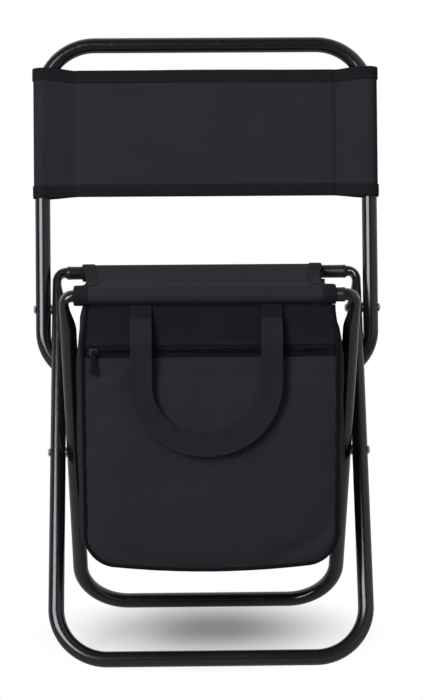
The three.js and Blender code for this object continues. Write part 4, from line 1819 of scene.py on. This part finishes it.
    def piping(self, y: float, top: float, name: str, node: str) -> Thing:
        """Makes the corded edge along the bag's outline at one depth.

        Args:
            y: Depth.
            top: Height of its two ends.
            name: The piece's name.
            node: The CAD node that it stands for.

        Returns:
            The piece.
        """
        columns = self.columns(-self.cord - self.gap)
        left, right = columns[0], columns[-1]
        drop = [(z, *header_draw(z)) for z in spread(top, left[1], self.cord_steps)]
        ahead = (self.back - y) / (self.back - self.front)
        line = [Vector((left[0] * narrow, y + lean * ahead, z)) for z, narrow, lean in drop]
        line += [Vector((x, y, z)) for x, z in columns[1:-1]]
        line += [Vector((right[0] * narrow, y + lean * ahead, z)) for z, narrow, lean in reversed(drop)]
        rings = []
        for index, point in enumerate(line):
            run = (line[min(index + 1, len(line) - 1)] - line[max(index - 1, 0)]).normalized()
            out = run.cross(Vector((0.0, 1.0, 0.0))).normalized()
            fat = self.cord * (1 + 0.05 * ripple(point.x, point.y, point.z, 9.0))
            ring = []
            for turn in turns(self.cord_sides):
                tongue = 1 + self.tongue * max(0.0, math.cos(turn)) ** 6
                spoke = out * (math.cos(turn) * tongue) + Vector((0.0, math.sin(turn), 0.0))
                ring.append(point + spoke * fat)
            rings.append(ring)
        shell = Shell()
        shell.ring_tube(rings)
        # The piping's dark colour is partly its own and partly painted shade along the seams.
        return ride(shell.piece(name, PIPING_TAPE_AND_SHADE), Body.BAG, node)

    def stitches(self) -> None:
        """Makes the rows of stitches below the zip and those above it on the header."""
        out = Vector((0.0, -1.0, 0.0))
        face, head = Shell(), Shell()
        for row in self.sewn_points:
            line = [p + out * (self.cloth / 2) for p in row[2:-2]]
            face.seam(line, [out] * len(line))
        for z in (self.header_low + rise for rise in self.header_sewn):
            narrow, lean = header_draw(z)
            reach = self.half_width * narrow - 3
            line = [Vector((x, self.front + lean, z)) for x in spread(-reach, reach, 30)]
            head.seam(line, [out] * len(line))
        above = ride(head.piece("header_stitches", THREAD), Body.BAG)
        self.flatten(above)
        ride(face.piece("bag_stitches", THREAD), Body.BAG)

    def build(self) -> None:
        """Makes the whole bag."""
        self.walls()
        self.header()
        self.insulation()
        self.piping(self.front + self.cord_behind, self.cord_top, "bag_piping_front", "piping_front")
        rear = self.piping(self.back - self.cloth, self.back_top, "bag_piping_rear", "piping_rear")
        self.flatten(rear)
        self.stitches()


@dataclass
class Zip:
    """The zip under the header: tapes, moulded teeth, end stops, slider and pull."""

    line: Pair = (-110.595, 318.846)
    half: float = 121.0
    tape_near: float = 2.5
    tape_far: float = 12.0
    tape: float = 0.6
    cord_roll: float = 0.7
    tooth_pitch: float = 2.0
    tooth_near: float = 0.5
    tooth_far: float = 2.6
    tooth_half: float = 1.0
    tooth_bevel: float = 0.18
    tooth_gap: float = 0.6
    tooth_shifts: Pair = (0.25, 0.75)
    stop: float = 2.5
    stop_half: float = 1.0
    stop_bevel: float = 0.3
    stop_nib: float = 0.9
    slider_middle: float = -113.7
    plate_front: float = -2.5
    plate_back: float = -1.3
    bail_axis: float = -5.1
    bail_half: float = 3.2
    bail_bend: float = 0.9
    plate_bevel: float = 0.35
    wire: float = 0.8
    wire_sides: int = 12
    pull_length: float = 22.0
    pull_half: float = 3.25

    def at(self, x: float, y: float, z: float) -> Vector:
        """Returns a place in the frame from one beside the middle of the zip line."""
        return Vector((x, self.line[0] + y, self.line[1] + z))

    def face_place(self, x: float) -> Matrix:
        """Returns the matrix that puts across, up and thickness at a place along the zip."""
        return Matrix.Translation(self.at(x, 0.0, 0.0)) @ FACE_ON

    def tapes(self) -> None:
        """Makes the two tapes, each with a thicker cord along the teeth."""
        for name, side in (("upper", 1), ("lower", -1)):
            net = []
            for share, lift in ((0.0, 0.25), (0.06, 0.3), (0.14, 0.0), (0.6, 0.0), (1.0, 0.0)):
                z = side * between(self.tape_near, self.tape_far, share)
                net.append([self.at(x, -lift, z) for x in spread(-self.half, self.half, 60)])
            shell = Shell()
            along = [abs(row[0].z) for row in net]
            shell.grid(net, [p.x for p in net[0]], along, flip=side < 0)
            tape = shell.thickened(self.tape).piece(f"zip_ribbon_{name}", ZIP_TAPE)
            ride(tape, Body.BAG, f"zip_tape_{name}")

    def teeth(self) -> None:
        """Makes the two rows of teeth, set half a pitch apart."""
        reach = self.half - self.stop - self.tooth_gap
        count = round(2 * reach / self.tooth_pitch)
        for name, side in (("upper", 1), ("lower", -1)):
            shell = Shell()
            for number in range(count):
                x = -reach + self.tooth_pitch * (number + self.tooth_shifts[0 if side > 0 else 1])
                near, far = self.tooth_near, self.tooth_far
                outline = [(-0.62, near), (0.62, near), (0.72, near + 0.7), (0.5, near + 1.1), (0.5, far)]
                outline += [(-0.5, far), (-0.5, near + 1.1), (-0.72, near + 0.7)]
                if side < 0:
                    outline = [(-a, -b) for a, b in outline]
                place = self.face_place(x)
                shell.plate(outline, -self.tooth_half, self.tooth_half, self.tooth_bevel, place)
            ride(shell.piece(f"zip_teeth_{name}", TOOTH_PLASTIC), Body.BAG, f"zip_row_{name}")

    def stops(self) -> None:
        """Makes the two end stops, bent round both tapes, each with a nib beside the shorter row of teeth."""
        for name, side in (("left", -1), ("right", 1)):
            half = self.stop / 2
            inner = -half - self.stop_nib
            outline = [(-half, -2.2), (half, -2.2), (half, -0.4), (half * 0.8, 0.0), (half, 0.4), (half, 2.2)]
            outline += [(inner, 2.2), (inner, 0.6), (-half * 0.8, 0.0), (-half, -0.4)]
            outline = [(side * x, side * z) for x, z in outline]
            shell = Shell()
            place = self.face_place(side * (self.half - half))
            shell.plate(outline, -self.stop_half, self.stop_half, self.stop_bevel, place)
            ride(shell.piece(f"zip_end_{name}", DULL_METAL), Body.BAG, f"zip_stop_{name}")

    def slider(self) -> None:
        """Makes the slider: two waisted plates on a post, and a round bail in front."""
        place = self.face_place(self.slider_middle)
        outline = [(-4.5, -2.6), (-3.4, -3.7), (-0.8, -4.0), (1.6, -3.3), (3.4, -3.1), (4.5, -2.2)]
        outline += [(x, -z) for x, z in reversed(outline)]
        shell = Shell()
        shell.plate(outline, self.plate_front, self.plate_back, self.plate_bevel, place)
        shell.plate(outline, -self.plate_back, -self.plate_front, self.plate_bevel, place)
        post = [(-4.3, -0.28), (-2.2, -0.28), (-2.2, 0.28), (-4.3, 0.28)]
        shell.plate(post, self.plate_back - 0.4, 0.4 - self.plate_back, 0.05, place)
        depth, bend = self.plate_front - self.bail_axis, self.bail_bend
        line = [(-self.bail_half, 0.3)]
        for share in spread(0.0, 1.0, 5):
            turn = math.pi / 2 * share
            line.append((-self.bail_half + bend * (1 - math.cos(turn)), -depth + bend * (1 - math.sin(turn))))
        line += [(-x, y) for x, y in reversed(line)]
        rings = []
        for index, (x, y) in enumerate(line):
            before, after = line[max(index - 1, 0)], line[min(index + 1, len(line) - 1)]
            run = Vector((after[0] - before[0], after[1] - before[1], 0.0)).normalized()
            side = Vector((run.y, -run.x, 0.0))
            ring = []
            for turn in turns(self.wire_sides):
                spoke = side * math.cos(turn) + Vector((0.0, 0.0, math.sin(turn)))
                ring.append(self.at(self.slider_middle + x, self.plate_front + y, 0.0) + spoke * self.wire)
            rings.append(ring)
        shell.ring_tube(rings)
        ride(shell.piece("zip_runner", RUNNER_METAL), Body.SLIDER, "zip_slider")

    def pull(self) -> None:
        """Makes the pull: a knuckle round the bail and a tab with a raised rim, slotted near its end."""
        centre = self.at(self.slider_middle, self.bail_axis, 0.0)
        shell = Shell()
        bore, outer, half = self.wire + 0.3, 2.0, 2.1
        ease = 0.25
        profile = [(-half, bore), (-half, outer - ease), (-half + ease, outer), (half - ease, outer)]
        profile += [(half, outer - ease), (half, bore)]
        shell.lathe(profile, centre, 20, closed=True)
        end = -self.pull_length + self.pull_half
        outside = [(2.1, -1.5), (2.3, -7.0)]
        bow = spread(0.0, -math.pi, 12)
        outside += [(self.pull_half * math.cos(a), end + self.pull_half * math.sin(a)) for a in bow]
        outside += [(-2.3, -7.0), (-2.1, -1.5)]
        inside, hole = [(0.9, -6.0), (1.1, -9.0)], 1.5
        inside += [(hole * math.cos(a), end + hole * math.sin(a)) for a in bow]
        inside += [(-1.1, -9.0), (-0.9, -6.0)]
        place = Matrix.Translation(centre) @ FACE_ON
        rings = []
        rim = [(0.0, -0.4), (0.12, -0.6), (0.88, -0.6), (1.0, -0.4)]
        for share, height in [*rim, *((share, -height) for share, height in reversed(rim))]:
            ring = []
            for (x, y), (a, b) in zip(outside, inside):
                ring.append(place @ Vector((between(x, a, share), between(y, b, share), height)))
            rings.append(ring)
        shell.ring_tube(rings, closed=True)
        web = [(-1.5, -9.6), (1.5, -9.6), (1.7, -5.0), (1.7, -1.6), (-1.7, -1.6), (-1.7, -5.0)]
        shell.plate(web, -0.4, 0.4, 0.1, place)
        ride(shell.piece("zip_tab", DULL_METAL), Body.PULL, "zip_pull")

    def build(self) -> None:
        """Makes the whole zip."""
        self.tapes()
        self.teeth()
        self.stops()
        self.slider()
        self.pull()


@dataclass
class CarryHandle:
    """The strap in front of the bag: it leaves two sewn patches, eases forward and hangs in a round loop."""

    centre: float = -4.0
    hinge: Pair = (-115.095, 351.846)
    spread: float = 127.0
    fall: float = 125.0
    stand: float = 6.5
    tuck: float = 0.6
    tilt: float = -1.6
    ease_length: float = 26.0
    bend: float = 62.0
    half_width: float = 10.5
    thickness: float = 1.6
    creases: Humps = ((0.9, 5.2, 0.0), (0.5, 2.9, 1.0))
    crease_power: float = 1.5
    left_loose: float = 0.45
    cup: float = 0.25
    wave: float = 0.25
    wave_size: float = 24.0
    stitch: Pair = (4.0, 0.6)
    bag_front: float = BAG_FRONT
    patch_top: float = 364.2
    patch_below: float = 1.0
    patch_ahead: float = 0.9
    patch_cloth: float = 1.0
    patch_stitch: Pair = (3.2, 0.5)
    box_inset: float = 2.0
    box_base: float = 1.6
    strap_run: float = 0.36
    patch_run: float = 0.0143
    across: int = 12
    bend_steps: int = 40

    def line(self) -> list[tuple[Vector, Vector, float]]:
        """Draws the strap's middle line.

        Returns:
            Place, direction out of the loop and share of the way into the bend.
        """
        left = []
        x = -self.spread / 2
        for share in spread(0.0, 1.0, 12):
            tuck = self.tuck * smooth(1 - share * 2)
            place = Vector((x, tuck - self.stand * smooth(share), -self.ease_length * share))
            left.append((place, Vector((-1.0, 0.0, 0.0)), 0.0))
        start = self.bend - self.fall
        for share in spread(0.0, 1.0, 8)[1:-1]:
            z = between(-self.ease_length, start, share)
            left.append((Vector((x, -self.stand, z)), Vector((-1.0, 0.0, 0.0)), 0.0))
        for share in spread(0.0, 1.0, self.bend_steps // 2):
            turn = math.pi * (1 + share / 2)
            out = Vector((math.cos(turn), 0.0, math.sin(turn)))
            middle = Vector((x + self.bend, -self.stand, start))
            left.append((middle + out * self.bend, out, smooth(share * 2)))
        right = []
        for place, out, share in reversed(left):
            right.append((Vector((-place.x, place.y, place.z)), Vector((-out.x, 0.0, out.z)), share))
        return left + right

    def strap(self) -> tuple[Shell, Shell]:
        """Nets the strap: the bend's outer edge stands forward, and its inner edge buckles a little.

        Returns:
            The strap and its two rows of stitches.
        """
        base = Vector((self.centre, *self.hinge))
        stations = self.line()
        run = lengths([place for place, _, _ in stations])
        net = []
        for (place, out, bent), along in zip(stations, run):
            row = []
            for share in spread(-1.0, 1.0, self.across):
                inner = max(0.0, -share)
                waves = sum(rise * math.sin(along / size + shift) for rise, size, shift in self.creases)
                crease = bent * inner**self.crease_power * waves
                loose = 1.0 if place.x > 0 else self.left_loose
                lean = bent * self.tilt * share - self.cup * share * share
                wave = self.wave * ripple(place.x, share * 9.0, place.z, self.wave_size) * bent
                lift = lean + loose * crease + wave
                row.append(base + place + out * (share * self.half_width) + Vector((0.0, lift, 0.0)))
            net.append(row)
        shell = Shell()
        shell.grid(net, spread(0.0, 2 * self.half_width, self.across), run, flip=True)
        sewing = Shell()
        half = self.thickness / 2
        normals = shell.normals()
        count = self.across + 1
        for column in (1, self.across - 1):
            line = [row[column] for row in net]
            outs = [normals[r * count + column] for r in range(len(net))]
            facing = [out if out.y < 0 else -out for out in outs]
            sewing.seam([p + o * half for p, o in zip(line, facing)], facing, *self.stitch)
        return shell.thickened(self.thickness), sewing

    def patch(self, side: int) -> tuple[Shell, Shell]:
        """Returns one sewn patch, which runs up and back under the seat roll, and its box of stitches.

        Args:
            side: Which of the two patches.

        Returns:
            The patch and its stitches.
        """
        middle = self.centre + side * self.spread / 2
        low, high = self.hinge[1] - self.patch_below, self.patch_top
        front = self.bag_front - self.patch_ahead
        slope = header_draw(high)[1] / (high - low)
        net = []
        for z in spread(high, low, 6):
            y = front + slope * (z - low)
            net.append([Vector((middle + x, y, z)) for x in spread(-self.half_width, self.half_width, 8)])
        shell = Shell()
        shell.grid(net, spread(0.0, 2 * self.half_width, 8), [high - row[0].z for row in net], flip=True)
        sewing = Shell()
        out = Vector((0.0, -1.0, 0.0))
        left, right = middle - self.half_width + self.box_inset, middle + self.half_width - self.box_inset
        top, base = high - self.box_inset, low + self.box_base
        corners = [(left, top), (right, top), (right, base), (left, base), (left, top)]
        line = [Vector((x, front - self.patch_cloth / 2 + slope * (z - low), z)) for x, z in corners]
        sewing.seam(line, [out] * len(line), *self.patch_stitch)
        return shell.thickened(self.patch_cloth), sewing

    def build(self) -> None:
        """Makes the strap and its patches."""
        cloth, sewing = self.strap()
        strap = ride(cloth.piece("handle_strap", STRAP_CLOTH), Body.HANDLE, "carry_handle")
        ride(sewing.piece("handle_stitches", THREAD), Body.HANDLE)
        for name, side in (("left", -1), ("right", 1)):
            cloth, sewing = self.patch(side)
            # The patches' darker cloth is painted shade under the seat roll.
            patch = ride(cloth.piece(f"handle_anchor_{name}", PATCH_CLOTH_PAINTED_SHADE), Body.BAG, f"handle_patch_{name}")
            ride(sewing.piece(f"anchor_stitches_{name}", THREAD), Body.BAG)


# Studio

SEAT_AIM = (0.0, 0.0, 0.35)


@dataclass
class Softbox:
    """One rectangular studio light."""

    name: str
    place: Place
    aim: Place
    size: Pair
    watts: float
    shines: bool = True
    mirrored: bool = False
    spares_floor: bool = False

    def build(self, floor: Thing) -> None:
        """Makes the light.

        Args:
            floor: The floor, which the light may leave out.
        """
        data = bpy.data.lights.new(self.name, "AREA")
        data.shape = "RECTANGLE"
        data.size, data.size_y = self.size
        data.energy = self.watts
        lamp = bpy.data.objects.new(self.name, data)
        lamp.location = self.place
        lamp.visible_diffuse = self.shines
        lamp.visible_glossy = self.mirrored
        if self.spares_floor:
            left_out = bpy.data.collections.new(f"spared_by_{self.name}")
            left_out.objects.link(floor)
            left_out.collection_objects[0].light_linking.link_state = "EXCLUDE"
            lamp.light_linking.receiver_collection = left_out
        toward = Vector(self.aim) - Vector(self.place)
        lamp.rotation_euler = toward.to_track_quat("-Z", "Y").to_euler()
        bpy.context.scene.collection.objects.link(lamp)


@dataclass
class Studio:
    """Floor, white surround, softboxes and the camera."""

    eye: Place = (-0.033772, -1.90978, 0.616931)
    yaw: float = 0.018806
    pitch: float = 0.175
    roll: float = 0.005
    lens: float = 96.371
    shift: Pair = (0.001276, 0.03042)
    ambient: float = 0.25
    wall_span: Pair = (0.0, 0.6)
    wall_levels: Pair = (0.08, 0.66)
    back_span: Pair = (-0.25, 0.5)
    floor_reach: float = 30.0
    floor_color: float = 0.72
    floor_fade: Pair = (0.07, 1.0)
    front_span: Pair = (-1.2, -0.4)
    near_mirrored: float = 0.12
    front_mirrored: Pair = (0.12, 0.5)
    shade_size: Pair = (0.198, 0.152)
    lights: tuple[Softbox, ...] = (
        Softbox("key_box", (-1.45, -2.1, 1.7), SEAT_AIM, (1.0, 2.0), 68.0),
        Softbox("key_mirror", (-1.45, -2.1, 1.3), SEAT_AIM, (2.0, 1.5), 99.0, shines=False, mirrored=True),
        Softbox("top_panel", (0.0, -0.2, 2.3), (0.0, 0.0, 0.0), (1.8, 1.8), 5.5),
        Softbox("right_fill", (1.7, -1.7, 0.9), SEAT_AIM, (0.9, 1.4), 4.0),
        Softbox("back_fill", (1.5, 1.9, 0.22), (0.0, 0.0, 0.3), (1.5, 0.4), 30.0, spares_floor=True),
    )

    def camera(self) -> None:
        """Makes the camera at the photograph's viewing angle."""
        across = Vector((math.cos(self.yaw), -math.sin(self.yaw), 0.0))
        ahead = Vector((math.sin(self.yaw), math.cos(self.yaw), 0.0))
        upright = Vector((0.0, 0.0, 1.0))
        forward = ahead * math.cos(self.pitch) - upright * math.sin(self.pitch)
        up = upright * math.cos(self.pitch) + ahead * math.sin(self.pitch)
        right = across * math.cos(self.roll) - up * math.sin(self.roll)
        rolled = across * math.sin(self.roll) + up * math.cos(self.roll)
        data = bpy.data.cameras.new("camera")
        data.lens = self.lens
        data.sensor_width = 36.0
        data.shift_x, data.shift_y = self.shift
        data.clip_end = 100.0
        made = bpy.data.objects.new("camera", data)
        turn = Matrix((right, rolled, -forward)).transposed().to_4x4()
        made.matrix_world = Matrix.Translation(self.eye) @ turn
        bpy.context.scene.collection.objects.link(made)
        bpy.context.scene.camera = made

    def surround(self) -> None:
        """Makes the world: white where it is seen or mirrored, dimmer where it only lights."""
        world = bpy.data.worlds.new("surround")
        bpy.context.scene.world = world
        graph = Graph(world)
        seen, mirrored, through = graph.ray("Camera"), graph.ray("Glossy"), graph.ray("Transmission")
        toward = graph.node("ShaderNodeTexCoord", None, None, "Generated")
        across, depth = graph.axis(toward, "X"), graph.axis(toward, "Y")
        walls = self.fade(graph, across, *self.wall_span, *self.wall_levels)
        behind = self.fade(graph, depth, *self.back_span)
        shown = seen.highest(mirrored.highest(through) * behind.highest(walls))
        strength = shown.highest((1 - mirrored) * self.ambient)
        white = (1.0, 1.0, 1.0, 1.0)
        sky = graph.node("ShaderNodeBackground", None, {"Color": white, "Strength": strength})
        graph.node("ShaderNodeOutputWorld", None, {"Surface": sky})

    @staticmethod
    def fade(
        graph: Graph, value: Value, first: float, last: float, low: float = 0.0, high: float = 1.0
    ) -> Value:
        """Returns a soft step from low, where a value is first, to high, where it is last."""
        sockets = {"Value": value, "From Min": first, "From Max": last, "To Min": low, "To Max": high}
        return graph.node("ShaderNodeMapRange", {"interpolation_type": "SMOOTHSTEP"}, sockets)

    def floor(self) -> Thing:
        """Makes the pale floor, which keeps the stool's shadow.

        Returns:
            The floor.
        """
        mesh = bpy.data.meshes.new("floor")
        reach = self.floor_reach
        corners = [(-reach, -reach, 0), (reach, -reach, 0), (reach, reach, 0), (-reach, reach, 0)]
        mesh.from_pydata(corners, [], [(0, 1, 2, 3)])
        made = bpy.data.objects.new("floor", mesh)
        material = bpy.data.materials.new("floor_paper")
        graph = Graph(material)
        seen, mirrored = graph.ray("Camera"), graph.ray("Glossy")
        grey = self.floor_color * (1 - mirrored * (1 - self.near_mirrored))
        near = graph.node("ShaderNodeBsdfDiffuse", None, {"Color": grey})
        place = graph.place()
        ahead = self.fade(graph, graph.axis(place, "Y"), *self.front_span, *self.front_mirrored)
        glow = seen.highest(mirrored * ahead).highest((1 - mirrored) * self.ambient)
        white = graph.node("ShaderNodeEmission", None, {"Strength": glow})
        scale = (1 / self.shade_size[0], 1 / self.shade_size[1], 1.0)
        spot_place = graph.node("ShaderNodeMapping", None, {"Vector": place, "Scale": scale})
        away = graph.node("ShaderNodeVectorMath", {"operation": "LENGTH"}, {0: spot_place}, "Value")
        share = self.fade(graph, away, *self.floor_fade)
        both = graph.node("ShaderNodeMixShader", None, {0: share, 1: near, 2: white})
        graph.node("ShaderNodeOutputMaterial", None, {"Surface": both})
        mesh.materials.append(material)
        bpy.context.scene.collection.objects.link(made)
        return made

    def build(self) -> None:
        """Makes the whole studio."""
        bpy.context.scene.view_settings.view_transform = "Standard"
        self.camera()
        self.surround()
        floor = self.floor()
        for light in self.lights:
            light.build(floor)
            LOG.info("hung %s", light.name)


def tube_frame() -> list[TubeLoop]:
    """Returns the three tube loops.

    Returns:
        Outer legs, inner legs and backrest.
    """
    legs = partial(TubeLoop, low=-8.0, high=LEG_TOP, low_bend=60.0, high_bend=15.5, necked=True)
    front, rear = (-114.195, FLOOR_AXIS), (85.805, FLOOR_AXIS)
    outer = legs("outer_leg_loop", Body.OUTER, width=328.5, origin=front, tilt=-LEAN)
    inner = legs("inner_leg_loop", Body.INNER, width=294.1, origin=rear, tilt=LEAN)
    rest = partial(TubeLoop, low=-288.5, high=78.7, low_bend=64.0, high_bend=55.0, head_down=True)
    back = rest("backrest_loop", Body.BACKREST, width=362.9, origin=BACK_PIVOT, tilt=-RECLINE)
    return [outer, inner, back]


def dress_hidden_steel() -> None:
    """Gives the spigots inside the butt joints, which stay as they are in the frame, their steel."""
    for name in ("outer_loop_spigot", "inner_loop_spigot", "backrest_spigot"):
        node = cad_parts[name]
        node.data.materials.clear()
        node.data.materials.append(STEEL.material())
        LOG.info("dressed %s", name)


def main() -> None:
    """Builds the stool piece by piece, then the studio round it."""
    logging.basicConfig(level=logging.INFO, format="%(name)s: %(message)s")
    Studio().build()
    for loop in tube_frame():
        loop.build()
    dress_hidden_steel()
    BarSleeve("rear_bar_sleeve", Body.OUTER, length=296.9, centre=(REAR_BAR, BAR_HEIGHT)).build()
    BarSleeve("front_bar_sleeve", Body.INNER, length=262.5, centre=(FRONT_BAR, BAR_HEIGHT)).build()
    PivotPair("leg", middle=147.65, centre=(SEAT_MIDDLE, 197.95)).build()
    PivotPair("back", middle=164.85, centre=BACK_PIVOT).build()
    seat = SlingPath(half_span=92.0, radius=7.9, reach=33.0, seam_height=7.86, corner_steps=1)
    SeatSling(seat, first=-131.3, last=121.3).build()
    back = SlingPath(half_span=173.45, radius=8.8, reach=33.0, seam_height=1.6)
    BackSling(back, first=120.0, last=253.0).build()
    CoolerBag().build()
    Zip().build()
    CarryHandle().build()


if __name__ == "__main__":
    main()
